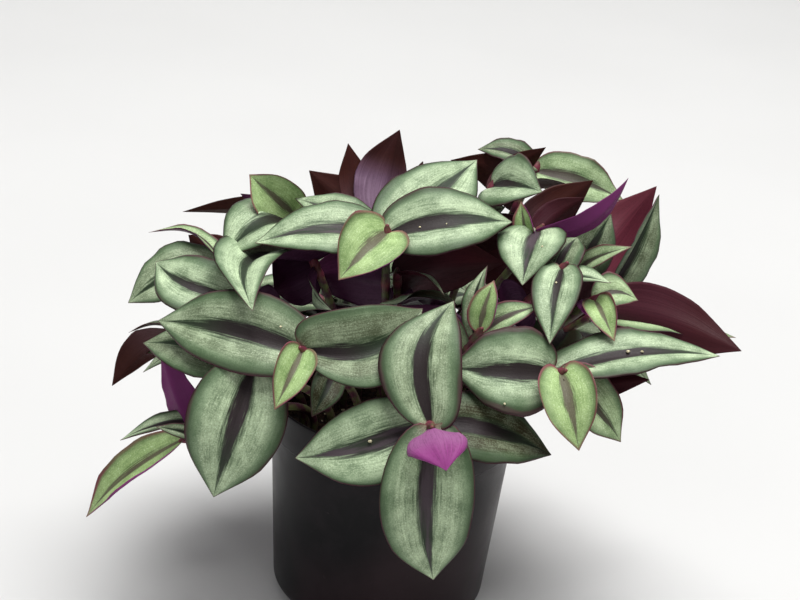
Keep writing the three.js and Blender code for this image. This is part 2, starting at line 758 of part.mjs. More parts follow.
function buildPlant() {
  const group = new THREE.Group();
  const stems = listStems();
  const holes = spreadHoles(stems);
  const pot = makePot();
  const soil = makeSoil(holes);
  addNode(group, 'pot', pot, potMaterial());
  addNode(group, 'soil', soil, soilMaterial());
  const placed = [];
  keep(pot, 'pot', placed);
  keep(soil, 'soil', placed);
  const paths = stems.map((stem, index) => stemPath(stem, holes[index]));
  const tubes = paths.map((path) => toSolid(stemTube(path)));
  stems.forEach((stem, index) => {
    const gap = smallestGap(tubes[index], stem.name, placed);
    if (gap < STEM_CLEAR) console.log('stem too near', stem.name, gap);
    keep(tubes[index], stem.name, placed);
  });
  stems.forEach((stem, index) => {
    const blades = stem.leaves
      .map((leaf) => placeBlade(leaf, stem, paths[index], placed))
      .filter((solid) => solid !== null);
    const solid = wasm.Manifold.union([tubes[index], ...blades]).simplify(SLIVER);
    const pieces = solid.decompose().length;
    if (pieces !== 1) console.log('loose', stem.name, pieces);
    addNode(group, stem.name, solid, leafMaterial());
  });
  return group;
}

export default buildPlant();
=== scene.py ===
"""A potted tradescantia dressed for its picture: striped leaves, fleshy stems, soil and a nursery pot."""

import logging
import math
import random
from collections.abc import Callable
from dataclasses import dataclass, field, replace
from enum import Enum

import bpy
import numpy as np
from mathutils import Matrix, Vector, noise
from mathutils.kdtree import KDTree


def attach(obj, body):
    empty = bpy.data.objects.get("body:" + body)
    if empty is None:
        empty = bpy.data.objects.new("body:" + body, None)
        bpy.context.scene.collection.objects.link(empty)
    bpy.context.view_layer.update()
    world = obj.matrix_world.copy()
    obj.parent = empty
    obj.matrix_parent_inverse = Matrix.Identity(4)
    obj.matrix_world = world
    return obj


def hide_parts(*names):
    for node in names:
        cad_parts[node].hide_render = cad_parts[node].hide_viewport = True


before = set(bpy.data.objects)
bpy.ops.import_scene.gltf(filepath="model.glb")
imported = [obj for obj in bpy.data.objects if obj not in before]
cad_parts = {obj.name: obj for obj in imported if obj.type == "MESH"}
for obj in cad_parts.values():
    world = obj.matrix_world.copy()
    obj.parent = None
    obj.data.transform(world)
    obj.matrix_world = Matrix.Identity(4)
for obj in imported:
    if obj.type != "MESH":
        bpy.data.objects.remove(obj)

LOG = logging.getLogger("tradescantia")
METRES = 0.001
BODY = "root"
LEAF_SHIFT = 37.0
Colour = tuple[float, float, float, float]
Faces = list[tuple[int, ...]]
Pair = tuple[float, float]
Socket = bpy.types.NodeSocket
Triple = tuple[float, float, float]


def srgb(red: int, green: int, blue: int) -> Colour:
    """Gives a colour read off a screen as the linear colour that a shader takes.

    Args:
        red: The red value, 0 to 255.
        green: The green value, 0 to 255.
        blue: The blue value, 0 to 255.

    Returns:
        The linear colour with full alpha.
    """

    def linear(value: int) -> float:
        """Undoes the screen's curve for one channel."""
        share = value / 255.0
        return share / 12.92 if share <= 0.04045 else ((share + 0.055) / 1.055) ** 2.4

    return (linear(red), linear(green), linear(blue), 1.0)


def unit(vector: np.ndarray) -> np.ndarray:
    """Gives a vector's direction."""
    return vector / np.linalg.norm(vector)


def units(vectors: np.ndarray) -> np.ndarray:
    """Gives the direction of each vector of an array."""
    return vectors / np.linalg.norm(vectors, axis=-1, keepdims=True)


# How leaves look


class Age(Enum):
    """How old a leaf is, as the amount of young colouring it has."""

    OLD = 0.0
    HALF_GROWN = 0.45
    YOUNG = 1.0


class Skin(Enum):
    """The finishes of a leafy stem, as the numbers of its materials."""

    TOP = 0
    UNDERSIDE = 1
    STEM = 2


class Tone(Enum):
    """The colour of a leaf's underside, from bright violet through maroon to brown."""

    VIOLET = 0.0
    PLUM = 0.35
    MAROON = 0.7
    BROWN = 1.0


@dataclass(frozen=True)
class Look:
    """How a leaf is coloured and how its foot is shaped.

    Fields are its age, the tone of its underside, how brown that turns toward the tip, how
    dull the top is (partly the leaf's own duller tone, partly painted shade, and past 1 painted
    shade toward near black), how far the foot's lobes reach back along the leaf, how much
    greyish bloom with painted sheen the underside has near the foot, and how dark it is in all
    (painted shade on the near-black leaves).
    """

    age: Age = Age.OLD
    tone: Tone = Tone.PLUM
    browning: float = 0.15
    dull: float = 0.0
    lobe: float = 0.09
    bloom_and_sheen: float = 0.1
    depth: float = 0.0


MATURE = Look()
# SOFT, MUTED, DUSKY and SHADED dull the top toward olive: partly the leaves' own duller tone, partly
# painted shade for leaves turned from the light.
SOFT = Look(dull=0.1)
MUTED = Look(dull=0.44)
DUSKY = Look(dull=0.75)
SHADED = Look(dull=0.6, tone=Tone.MAROON)
# Painted shade: near-black leaves set where the inside of the plant lies in shade.
PAINTED_SHADE_DARK = Look(dull=1.5, tone=Tone.PLUM, depth=0.5)
FRESH = Look(age=Age.HALF_GROWN, tone=Tone.PLUM, lobe=0.06)
YOUNG = Look(age=Age.YOUNG, tone=Tone.VIOLET, lobe=0.05)
HEART = Look(age=Age.YOUNG, tone=Tone.VIOLET, lobe=0.2)
# The underside looks' bloom also paints a sheen near the foot.
VIOLET_BACK = Look(age=Age.YOUNG, tone=Tone.VIOLET, browning=0.0, bloom_and_sheen=0.5)
DEEP_VIOLET_BACK = Look(tone=Tone.VIOLET, browning=0.0, depth=0.45)
PLUM_BACK = Look(tone=Tone.PLUM, browning=0.1)
MAROON_BACK = Look(tone=Tone.MAROON, browning=0.1, dull=0.3, bloom_and_sheen=0.03)
RED_BACK = Look(age=Age.HALF_GROWN, tone=Tone.MAROON, browning=0.0, dull=0.3, bloom_and_sheen=0.03)
BROWN_BACK = Look(tone=Tone.BROWN, browning=0.0, dull=0.5)
TOP_BACK = Look(tone=Tone.PLUM, browning=0.9, dull=0.4, bloom_and_sheen=0.75)
TEAL = Look(tone=Tone.BROWN, dull=0.8)
OLIVE = Look(tone=Tone.MAROON, dull=1.2)
OLIVE_VIOLET = Look(tone=Tone.VIOLET, browning=0.1, dull=0.7)


# The view in which the leaves were measured


@dataclass(frozen=True)
class PictureView:
    """The view in which the leaves were measured, in millimetres and degrees.

    Only the nearest and farthest distance that the camera sees are in metres.
    """

    looks_down: float = 22.0
    leans: float = 5.6
    rim_height: float = 92.0
    distance: float = 800.0
    lens: float = 84.96
    sensor: float = 36.0
    aim_right: float = 2.12
    aim_up: float = 40.25
    nearest: float = 0.01
    farthest: float = 20.0

    def axes(self) -> np.ndarray:
        """Gives the view's right, up and near directions in the room.

        Returns:
            A 3 by 3 array with one direction in each row.
        """
        down, lean = math.radians(self.looks_down), math.radians(self.leans)
        right = np.array([1.0, 0.0, 0.0])
        up = np.array([0.0, math.sin(down), math.cos(down)])
        near = np.array([0.0, -math.cos(down), math.sin(down)])
        leaned_right = math.cos(lean) * right + math.sin(lean) * up
        leaned_up = -math.sin(lean) * right + math.cos(lean) * up
        return np.array([leaned_right, leaned_up, near])

    def turn(self, direction: Triple) -> np.ndarray:
        """Gives a direction stated as right, up and near as a direction in the room."""
        return np.array(direction, dtype=float) @ self.axes()

    def place(self, point: Triple) -> np.ndarray:
        """Gives a point stated from the middle of the pot's rim as a point in the room."""
        return self.turn(point) + np.array([0.0, 0.0, self.rim_height])

    def make_camera(self) -> None:
        """Makes the scene's camera at this view."""
        data = bpy.data.cameras.new("picture_camera")
        data.lens = self.lens
        data.sensor_width = self.sensor
        data.clip_start = self.nearest
        data.clip_end = self.farthest
        camera = bpy.data.objects.new("picture_camera", data)
        bpy.context.scene.collection.objects.link(camera)
        right, up, near = self.axes()
        eye = self.place((self.aim_right, self.aim_up, self.distance)) * METRES
        turn = Matrix([[right[row], up[row], near[row]] for row in range(3)]).to_4x4()
        camera.matrix_world = Matrix.Translation(Vector(eye)) @ turn
        bpy.context.scene.camera = camera


VIEW = PictureView()


# Ways that leaves are bent clear of each other


@dataclass(frozen=True)
class Bend:
    """One way that a leaf is bent clear of its neighbours.

    Fields are the tip's move to the right, up and near in mm, and the step down the stem as a
    share of its length.
    """

    right: float
    up: float
    near: float
    drop: float


@dataclass(frozen=True)
class BendRange:
    """The steps that make up a list of bends."""

    rights: tuple[float, ...]
    ups: tuple[float, ...]
    nears: tuple[float, ...]
    drops: tuple[float, ...]
    drop_cost: float = 80.0
    most: int = 400

    def effort(self, bend: Bend) -> float:
        """Gives how much a bend costs."""
        return 2 * abs(bend.right) + 2 * abs(bend.up) + abs(bend.near) + self.drop_cost * bend.drop

    def bends(self) -> list[Bend]:
        """Lists the bends from the smallest effort up.

        Returns:
            At most as many bends as the range allows.
        """
        found = [
            Bend(right, up, near, drop)
            for drop in self.drops
            for right in both_ways(self.rights)
            for up in both_ways(self.ups)
            for near in both_ways(self.nears)
        ]
        return sorted(found, key=self.effort)[: self.most]


def both_ways(steps: tuple[float, ...]) -> list[float]:
    """Lists each step forward and back.

    Args:
        steps: The sizes of the steps, with 0 for none.

    Returns:
        The signed steps, with 0 only once.
    """
    signed: list[float] = []
    for step in steps:
        signed += [step] if step == 0 else [step, -step]
    return signed


SEEN_BENDS = BendRange((0, 3), (0, 3), (0, 3, 6, 9, 12, 16, 20, 25), (0, 0.04, 0.08, 0.12))
HIDDEN_BENDS = BendRange((0, 8, 16), (0, 6, 12, 18), (0, 8, 16), (0, 0.08, 0.16))


# Blades and stems


@dataclass
class Blade:
    """One leaf blade, in millimetres.

    Fields are the share of the stem it grows at, its tip, its width, the way it faces, its
    arch, fold and sideways bow, its look, its order on the stem and, once it is known, its foot.
    """

    at: float
    tip: np.ndarray
    width: float
    face: np.ndarray
    arch: float = 0.1
    fold: float = 14.0
    bow: float = 0.0
    look: Look = MATURE
    order: int = 0
    foot: np.ndarray | None = None

    def outline(self, share: np.ndarray) -> np.ndarray:
        """Gives half the blade's width at shares of its length.

        Args:
            share: The shares, 0 at the foot and 1 at the tip.

        Returns:
            The half width at each share.
        """
        foot_power, tip_power, peak = 0.5, 0.85, 0.4107
        inside = np.clip(share, 0.0, 1.0)
        return self.width / 2 * inside**foot_power * (1 - inside) ** tip_power / peak

    def length(self) -> float:
        """Gives the straight distance from foot to tip."""
        return float(np.linalg.norm(self.tip - self.foot))

    def axes(self) -> tuple[np.ndarray, np.ndarray, np.ndarray]:
        """Gives the directions along the blade, up from its face and to its side.

        Returns:
            The three directions.
        """
        along = unit(self.tip - self.foot)
        up = unit(self.face - along * float(self.face @ along))
        return along, up, np.cross(along, up)

    def corners(
        self,
        shares: np.ndarray,
        end_half_width: float = 0.5,
        half_thickness: float = 0.4,
    ) -> np.ndarray:
        """Gives the corner points of the plain blade, to find it in the plain solid.

        Args:
            shares: The shares of its length to give points at.
            end_half_width: The least half width the plain blade has.
            half_thickness: Half the plain blade's thickness.

        Returns:
            The points, six for each share.
        """
        along, up, side = self.axes()
        length = self.length()
        height = self.arch * np.sin(np.pi * shares)
        slope = self.arch * np.pi * np.cos(np.pi * shares)
        normal = units(up[None, :] - along[None, :] * slope[:, None])
        spine = self.foot + along * (length * shares)[:, None] + up * (length * height)[:, None]
        spine = spine + side * (length * self.bow * np.sin(np.pi * shares))[:, None]
        half = np.maximum(end_half_width, self.outline(shares))
        fold = math.radians(self.fold)
        points = []
        for rise in (half_thickness, -half_thickness):
            for across in (-1.0, 0.0, 1.0):
                reach = half * across
                sideways = side * (reach * math.cos(fold))[:, None]
                lift = normal * (np.abs(reach) * math.sin(fold) + rise)[:, None]
                points.append(spine + sideways + lift)
        return np.concatenate(points)


def leaf(
    at: float,
    tip: Triple,
    width: float,
    face: Triple,
    arch: float = 0.1,
    fold: float = 14.0,
    bow: float = 0.0,
    look: Look = MATURE,
) -> Blade:
    """Makes a leaf from numbers read in the picture's view.

    Args:
        at: The share of the stem's length at which it grows.
        tip: Its tip, as right, up and near of the middle of the pot's rim.
        width: Its width.
        face: The way it faces, as right, up and near.
        arch: How far it arches, as a share of its length.
        fold: How far its halves fold up, in degrees.
        bow: How far it bows sideways, as a share of its length.
        look: How it is coloured.

    Returns:
        The leaf, placed in the room.
    """
    return Blade(at, VIEW.place(tip), width, unit(VIEW.turn(face)), arch, fold, bow, look)


@dataclass
class StemPath:
    """A stem's centre line: straight up out of the soil, then one smooth bend to its end."""

    hole: np.ndarray
    end: np.ndarray
    bottom: float = 62.3
    straight: float = 84.0
    least_rise: float = 20.0
    rise_share: float = 0.5
    inward_share: float = 0.35
    sag: float = 0.35
    last_foot: float = 0.975
    plain_steps: int = 6

    def spaced(self, steps: int, parts: int = 200) -> np.ndarray:
        """Gives points at equal steps along the line.

        Args:
            steps: How many steps to make.
            parts: How many chords the bend is measured by.

        Returns:
            One more point than there are steps.
        """
        foot = np.array([self.hole[0], self.hole[1], self.bottom])
        top = np.array([self.hole[0], self.hole[1], self.straight])
        rise = max(self.least_rise, (self.end[2] - self.straight) * self.rise_share)
        across = self.end - top
        length = float(np.linalg.norm(across))
        heading = across / length
        heading[2] -= self.sag * math.hypot(heading[0], heading[1])
        inward = self.end - unit(heading) * (length * self.inward_share)
        lift = top + np.array([0.0, 0.0, rise])

        def bend(measure: np.ndarray) -> np.ndarray:
            """Gives points of the bend.

            Args:
                measure: The shares of the bend's own measure.

            Returns:
                One point for each share.
            """
            t = measure[:, None]
            near = (1 - t) ** 3 * top + 3 * (1 - t) ** 2 * t * lift
            return near + 3 * (1 - t) * t**2 * inward + t**3 * self.end

        measure = np.linspace(0.0, 1.0, parts + 1)
        chords = np.linalg.norm(np.diff(bend(measure), axis=0), axis=1)
        lengths = np.concatenate([[0.0], np.cumsum(chords)])
        plain = self.straight - self.bottom
        distances = np.linspace(0.0, plain + lengths[-1], steps + 1)
        upright = foot + (top - foot) * (distances / plain)[:, None]
        bent = bend(np.interp(distances - plain, lengths, measure))
        return np.where((distances <= plain)[:, None], upright, bent)

    def plain_point(self, share: float) -> np.ndarray:
        """Gives the place on the plain stem at which a leaf's foot is sunk.

        Args:
            share: The share of the stem's length.

        Returns:
            The point on the plain stem's centre line.
        """
        points = self.spaced(self.plain_steps)
        position = min(share * self.last_foot, 1.0) * self.plain_steps
        before = min(math.floor(position), self.plain_steps - 1)
        return points[before] + (points[before + 1] - points[before]) * (position - before)


@dataclass
class Stem:
    """One leafy stem: its name, its end, its leaves, whether other stems hide it, and its path."""

    name: str
    end: np.ndarray
    blades: list[Blade]
    hidden: bool = False
    path: StemPath | None = None

    def number_blades(self) -> None:
        """Gives each leaf its order on the stem."""
        for order, blade in enumerate(self.blades):
            blade.order = order

    def settle(self, node: bpy.types.Object) -> None:
        """Gives each leaf the bend that its plain solid has, and drops leaves that aren't in it.

        Args:
            node: The plain solid of the stem.
        """
        tree = KDTree(len(node.data.vertices))
        for index, vertex in enumerate(node.data.vertices):
            tree.insert(vertex.co / METRES, index)
        tree.balance()
        choices = (HIDDEN_BENDS if self.hidden else SEEN_BENDS).bends()
        kept = []
        for blade in self.blades:
            best, matches = blade, 0
            for bend in choices:
                tried = self.bent(blade, bend)
                if count_found(tree, tried.corners(TIP_SHARE)) == 0:
                    continue
                found = count_found(tree, tried.corners(BODY_SHARES))
                if found > matches:
                    best, matches = tried, found
            if matches >= LEAST_MATCHES:
                kept.append(best)
            elif not self.hidden:
                kept.append(self.bent(blade, choices[0]))
                LOG.warning("%s: leaf %d isn't found in the solid", self.name, blade.order)
        self.blades = kept

    def bent(self, blade: Blade, bend: Bend, foot_step: float = 0.012) -> Blade:
        """Gives a leaf bent one way.

        Args:
            blade: The leaf as measured.
            bend: The way to bend it.
            foot_step: How far apart the feet of a stem's leaves lie, as a share of the stem.

        Returns:
            The bent leaf with its foot on the stem.
        """
        foot = self.path.plain_point(blade.at - bend.drop - foot_step * blade.order)
        tip = blade.tip + VIEW.turn((bend.right, bend.up, bend.near))
        return replace(blade, tip=tip, foot=foot)


TIP_SHARE = np.array([1.0])
BODY_SHARES = np.array([0.36, 0.63, 0.86, 1.0])
LEAST_MATCHES = 8


def count_found(tree: KDTree, points: np.ndarray, tolerance: float = 0.03) -> int:
    """Counts the points that a solid has a corner at.

    Args:
        tree: The solid's corners.
        points: The points to look for.
        tolerance: How far off a corner may be, in mm.

    Returns:
        The number of points found.
    """
    return sum(tree.find(Vector(point))[2] < tolerance for point in points)


def seen_stems() -> list[Stem]:
    """Lists the stems whose leaves show in the picture.

    Returns:
        The stems, each end and leaf as right, up and near of the middle of the pot's rim.
    """
    table = {
        "stem_front_centre": (
            (14, -7, 98),
            leaf(1, (19, -22, 112), 26, (-0.1, -0.5, -0.9), -0.16, 14, look=VIOLET_BACK),
            leaf(1, (15, -68, 70), 37, (0.05, 0.35, 1), 0.15, 12, 0.05, look=SOFT),
            leaf(1, (23, 40, 72), 33, (-0.1, 0.3, 1), 0.1, 10, -0.14, look=MUTED),
            leaf(0.9, (-38, -20, 80), 33, (-0.15, 0.2, 1), 0.1, 12, -0.07),
            leaf(0.88, (61, -20, 66), 31, (0.2, 0.6, 0.9), 0.1, 10, look=OLIVE),
        ),
        "stem_front_left": (
            (-36, 22, 80),
            leaf(1, (-45, -1, 92), 19, (0.1, 0.2, 1), 0.1, 32, look=YOUNG),
            leaf(1, (11, 37, 73), 37, (0, 0.3, 1), 0.08, 24, 0.2, look=DUSKY),
            leaf(0.97, (-94, 32, 52), 35, (-0.1, 0.5, 1), 0.1, 12, look=MUTED),
            leaf(0.75, (-32, -5, 70), 14, (0.3, 0.2, 1), 0.08, 16, look=OLIVE),
        ),
        "stem_left_front": (
            (-56, 14, 74),
            leaf(1, (-70, -36, 70), 39, (0.1, 0.3, 1), 0.14, 10, look=SOFT),
            leaf(0.95, (-101, 23, 43), 29, (-0.2, 0.8, 0.8), 0.1, 10, look=SHADED),
        ),
        "stem_left_low": (
            (-84, -15, 60),
            leaf(1, (-124, -47, 42), 19, (-0.4, 0.6, 0.9), 0.08, 28, look=YOUNG),
            leaf(0.97, (-93, 20, 48), 18, (0.5, 0.2, -1), 0.12, 20, 0.12, look=DEEP_VIOLET_BACK),
            leaf(0.94, (-110, -16, 44), 15, (-0.2, 1, 0.6), 0.1, 20),
            leaf(1, (-93, -9, 66), 7, (0.4, 0.2, 1), 0.2, 30, look=BROWN_BACK),
        ),
        "stem_left": (
            (-89, 25, 42),
            leaf(1, (-116, 5, 26), 20, (-0.6, 0.5, -0.9), 0.16, 16, look=BROWN_BACK),
            leaf(1, (-108, 27, 34), 9, (-0.2, 1, 0.1), 0.2, 24, look=BROWN_BACK),
            leaf(0.9, (-106, 18, 22), 16, (-0.5, 0.8, 0.6), look=FRESH),
        ),
        "stem_left_mid": (
            (-66, 42, 40),
            leaf(1, (-98, 56, 26), 30, (-0.2, 0.7, 0.9), 0.1, 14, -0.15),
            leaf(1, (-72, 24, 62), 22, (-0.3, 0.7, 0.9), 0.12, 20),
            leaf(0.93, (-46, 32, 30), 24, (0.2, 0.3, -1), look=PLUM_BACK),
        ),
        "stem_left_back": (
            (-76, 56, 6),
            leaf(1, (-112, 39, 8), 30, (-0.5, 0.6, 1), 0.14, 10, look=MUTED),
            leaf(1, (-105, 69, -4), 12, (-0.1, 1, 0.15), 0.22, 24, look=FRESH),
            leaf(0.96, (-88, 68, -4), 22, (-0.2, 0.4, -0.9), 0.14, 16, look=BROWN_BACK),
        ),
        "stem_upper_left": (
            (-42, 78, 16),
            leaf(1, (-60, 92, 22), 24, (-0.2, 0.1, 1), 0.1, 24, look=YOUNG),
            leaf(1, (-70, 57, 36), 38, (-0.3, 0.8, 0.9), 0.22, 10),
            leaf(0.97, (-65, 85, 6), 15, (-0.4, 0.5, -0.8), 0.12, 16, look=PLUM_BACK),
            leaf(0.9, (-91, 78, -8), 16, (-0.2, 0.75, -0.6), 0.2, 18, look=BROWN_BACK),
            leaf(0.93, (-54, 36, 78), 34, (-0.1, 0.7, 0.7), 0.1, 26, 0.2),
            leaf(0.86, (-25, 36, 44), 12, (-1, 0.2, -0.6), 0.1, 20, look=PLUM_BACK),
            leaf(0.93, (-50, 44, 20), 26, (0.2, 0.3, -1), look=PLUM_BACK),
        ),
        "stem_top": (
            (-3, 70, 42),
            leaf(1, (-22, 48, 60), 29, (0.25, 0.6, 0.9), 0.12, 16, look=HEART),
            leaf(1, (48, 72, 30), 33, (0, 0.5, 0.9), 0.1, 10),
            leaf(1, (-56, 63, 36), 30, (0, 0.75, 0.75), 0.1, 10),
            leaf(0.95, (-41, 82, 18), 22, (-0.2, 0.7, 0.6), 0.12, 12),
            leaf(1, (35, 100, -4), 36, (-0.1, 0.4, 1), 0.02, 12),
            leaf(0.85, (-40, 50, 22), 28, (0.1, 0.3, -1), look=PLUM_BACK),
        ),
        "stem_inner": (
            (1, 53, 26),
            leaf(1, (-9, 36, 42), 17, (0.3, 0.1, -1), 0.12, 18, look=PLUM_BACK),
            leaf(1, (20, 42, 44), 8, (0.3, 1, 0.1), 0.14, 20, look=MAROON_BACK),
            # Painted shade: this leaf is darkened near black for the shade inside the plant.
            leaf(0.85, (26, 38, 30), 20, (0.5, 1, 0.4), 0.12, 14, look=PAINTED_SHADE_DARK),
            leaf(1, (46, 56, 10), 29, (0, 0.4, -1), look=MAROON_BACK),
        ),
        "stem_back_top": (
            (-8, 79, 2),
            leaf(1, (2, 113, -6), 25, (-0.25, 0.3, -1), look=TOP_BACK),
            leaf(1, (-37, 96, -12), 27, (-0.3, 0.35, -0.9), 0.12, 12, look=BROWN_BACK),
            leaf(1, (-20, 107, -10), 19, (-0.5, 0.2, -0.8), 0.1, 18, look=BROWN_BACK),
            leaf(0.97, (12, 100, -12), 22, (0.5, 0.3, -0.8), 0.12, 16, look=BROWN_BACK),
        ),
        "stem_upper_right": (
            (42, 91, -2),
            leaf(1, (61, 85, 18), 29, (0.1, 0.35, 1), 0.12, 16),
            leaf(1, (64, 105, 0), 12, (0.2, 0.4, -0.9), 0.14, 22, look=BROWN_BACK),
            leaf(0.96, (46, 79, 18), 16, (-0.6, 0.3, 0.9), 0.1, 20, look=TEAL),
            leaf(0.9, (80, 88, -10), 24, (0.4, 1, -0.2), 0.14, 14, look=MAROON_BACK),
            leaf(0.88, (74, 51, -2), 26, (-0.1, 0.4, -0.9), look=MAROON_BACK),
        ),
        "stem_back_upper_right": (
            (63, 101, -26),
            leaf(1, (36, 106, -24), 18, (0.1, 0.7, 0.7), 0.14, 12, look=TEAL),
            leaf(1, (100, 84, -24), 24, (0.1, 0.5, 1), 0.08, 14, look=FRESH),
            leaf(0.95, (60, 88, -62), 28, (0.2, 0.9, -0.6), 0.16, 12),
            leaf(0.97, (24, 101, -17), 16, (-0.1, 0.5, -0.85), 0.12, 16, -0.14, look=BROWN_BACK),
        ),
        "stem_right_top": (
            (61, 71, 22),
            leaf(1, (51, 46, 46), 29, (-0.25, 0.5, 1), 0.12, 12),
            leaf(1, (52, 81, 22), 11, (-0.5, 0.3, 1), 0.1, 28, look=YOUNG),
            leaf(1, (79, 83, 16), 15, (0.2, 0.5, -0.9), 0.1, 24, look=MAROON_BACK),
            leaf(1, (97, 91, 16), 13, (-0.2, 0.7, -0.7), -0.2, 16, look=DEEP_VIOLET_BACK),
            leaf(0.96, (84, 91, 0), 24, (0.1, 0.5, -0.9), look=BROWN_BACK),
        ),
        "stem_right_mid_left": (
            (69, 55, 44),
            leaf(1, (60, 23, 70), 21, (-0.2, 0.3, 1), 0.1, 16),
            leaf(1, (75, 66, 26), 19, (-0.1, 0.7, 0.7), look=SHADED),
            leaf(0.9, (86, 47, 50), 20, (0.3, 0.9, 0.6), 0.12, 16),
            leaf(0.85, (44, 34, 34), 24, (0, 0.3, -1), look=PLUM_BACK),
        ),
        "stem_right_mid": (
            (82, 42, 44),
            leaf(1, (86, 24, 62), 15, (-0.1, 0.3, 1), 0.1, 26, look=YOUNG),
            leaf(1, (98, 40, 40), 18, (0.1, 0.6, 0.9), 0.1, 14, -0.15, look=FRESH),
            leaf(1, (78, 33, 56), 11, (-0.5, 0.2, -0.8), 0.1, 16, look=VIOLET_BACK),
        ),
        "stem_right_front": (
            (66, 13, 72),
            leaf(1, (70, -17, 84), 25, (-0.05, 0.3, 1), 0.14, 18, look=HEART),
            leaf(1, (21, 14, 72), 37, (0, 0.4, 1), 0.1, 10, -0.04),
            leaf(1, (88, -15, 66), 24, (0.3, 0.3, 1), 0.12, 14, look=FRESH),
            leaf(0.97, (129, 18, 52), 28, (0.1, 0.85, 0.65), 0.08, 12),
            leaf(0.94, (100, 9, 60), 16, (0.3, -0.3, -1), look=MAROON_BACK),
        ),
        "stem_inner_right": (
            (34, 29, 64),
            leaf(1, (39, 48, 60), 14, (-0.3, 0.2, 1), 0.08, 30, look=YOUNG),
            leaf(1, (37, 54, 50), 12, (-0.8, 0.3, 0.8), 0.1, 22, look=SHADED),
            leaf(1, (58, 38, 60), 16, (0.1, 0.8, 0.8), 0.12, 18, look=FRESH),
            leaf(0.95, (22, 37, 58), 16, (-0.3, 0.6, 0.9), 0.1, 18, look=FRESH),
            leaf(0.9, (2, 38, 34), 26, (-0.2, 0.3, -1), look=PLUM_BACK),
        ),
        "stem_right": (
            (88, 38, 28),
            leaf(1, (144, 19, 16), 30, (0.2, -0.3, -1), 0.12, 12, 0.08, look=MAROON_BACK),
            leaf(0.95, (147, 24, -14), 20, (0.2, 0.8, 0.6), 0.02, 12, look=FRESH),
            # Painted shade: this leaf is darkened near black for the shade inside the plant.
            leaf(0.85, (58, 10, 30), 26, (-0.3, 0.5, 1), look=PAINTED_SHADE_DARK),
        ),
        "stem_back_right": (
            (84, 56, 12),
            leaf(0.95, (90, 76, 18), 22, (-0.2, 0.3, 1), 0.08, 12, look=SHADED),
            leaf(1, (112, 89, -8), 27, (0.3, 0.3, -1), 0.16, 14, look=RED_BACK),
            leaf(1, (97, 62, 30), 12, (0.2, 0.6, 0.8), 0.12, 16, look=FRESH),
            leaf(0.9, (32, 60, -5), 30, (0, 0.3, -1), look=MAROON_BACK),
            leaf(1, (74, 28, 14), 24, (0, 0.2, -1), look=MAROON_BACK),
        ),
        "stem_far_right": (
            (92, 46, 8),
            leaf(1, (112, 85, 0), 26, (0.8, 0, 0.6), 0.02, 28, look=OLIVE_VIOLET),
        ),
    }
    return [Stem(name, VIEW.place(row[0]), list(row[1:])) for name, row in table.items()]


@dataclass
class HiddenRing:
    """A ring of stems behind the ones in view, in mm and degrees."""

    name: str
    count: int
    start: float
    stop: float
    reach: float
    height: float
    length: float


@dataclass
class HiddenStems:
    """The rule by which the stems behind the ones in view grow."""

    seed: int = 41
    swing: float = 10.0
    scatter: float = 12.0
    turn_scatter: float = 16.0
    fall_scatter: float = 0.16
    shortest: float = 0.9
    width_share: float = 0.54
    tilt: float = 0.3
    arch: float = 0.13
    fold: float = 12.0
    inward_turn: float = 90.0
    kinds: tuple[tuple[float, float, float, float], ...] = (
        (-62, 1, 0.95, 0.2),
        (58, 0.96, 1, 0.3),
        (-4, 0.92, 0.95, 0.5),
        (180, 0.9, 0.8, -0.2),
    )
    rings: tuple[HiddenRing, ...] = (
        HiddenRing("back_low", 5, 36, 150, 72, 106, 54),
        HiddenRing("back_high", 3, 72, 140, 50, 128, 46),
    )

    def draws(self) -> Callable[[], float]:
        """Gives the even random numbers that the rule draws, always the same ones.

        Returns:
            A function that gives the next number from 0 to 1.
        """
        state = self.seed
        factor, step, span = 1664525, 1013904223, 2**32

        def draw() -> float:
            """Gives the next number.

            Returns:
                A number from 0 to 1.
            """
            nonlocal state
            state = (state * factor + step) % span
            return state / span

        return draw

    def stems(self) -> list[Stem]:
        """Grows the hidden stems.

        Returns:
            The stems, ring by ring.
        """
        draw = self.draws()
        return [self.stem(ring, index, draw) for ring in self.rings for index in range(ring.count)]

    def stem(self, ring: HiddenRing, index: int, draw: Callable[[], float]) -> Stem:
        """Grows one hidden stem.

        Args:
            ring: The ring it stands in.
            index: Its place in the ring.
            draw: The source of random numbers.

        Returns:
            The stem with its leaves.
        """
        step = (ring.stop - ring.start) / (ring.count - 1)
        angle = math.radians(ring.start + step * index + (draw() - 0.5) * self.swing)
        reach = ring.reach + (draw() - 0.5) * self.scatter
        end = polar(angle, reach, ring.height + (draw() - 0.5) * self.scatter)
        blades = [self.blade(ring, kind, angle, end, draw) for kind in self.kinds]
        return Stem(f"stem_{ring.name}_{index + 1}", end, blades, hidden=True)

    def blade(
        self,
        ring: HiddenRing,
        kind: tuple[float, float, float, float],
        angle: float,
        end: np.ndarray,
        draw: Callable[[], float],
    ) -> Blade:
        """Grows one leaf of a hidden stem.

        Args:
            ring: The ring its stem stands in.
            kind: Its turn from the stem's heading, place on the stem, size and fall.
            angle: The stem's heading.
            end: The stem's end.
            draw: The source of random numbers.

        Returns:
            The leaf.
        """
        turn, at, size, fall = kind
        heading = angle + math.radians(turn + (draw() - 0.5) * self.turn_scatter)
        length = ring.length * size * (self.shortest + draw() * (1 - self.shortest) * 2)
        drop = fall + (draw() - 0.5) * self.fall_scatter
        tip = end + polar(heading, length * math.cos(drop), -length * math.sin(drop))
        face = unit(polar(heading, self.tilt, 1.0))
        # Leaves that turn inward are darkened near black as painted shade for the plant's shaded inside;
        # the others are muted.
        look = PAINTED_SHADE_DARK if abs(turn) > self.inward_turn else MUTED
        return Blade(at, tip, length * self.width_share, face, self.arch, self.fold, look=look)


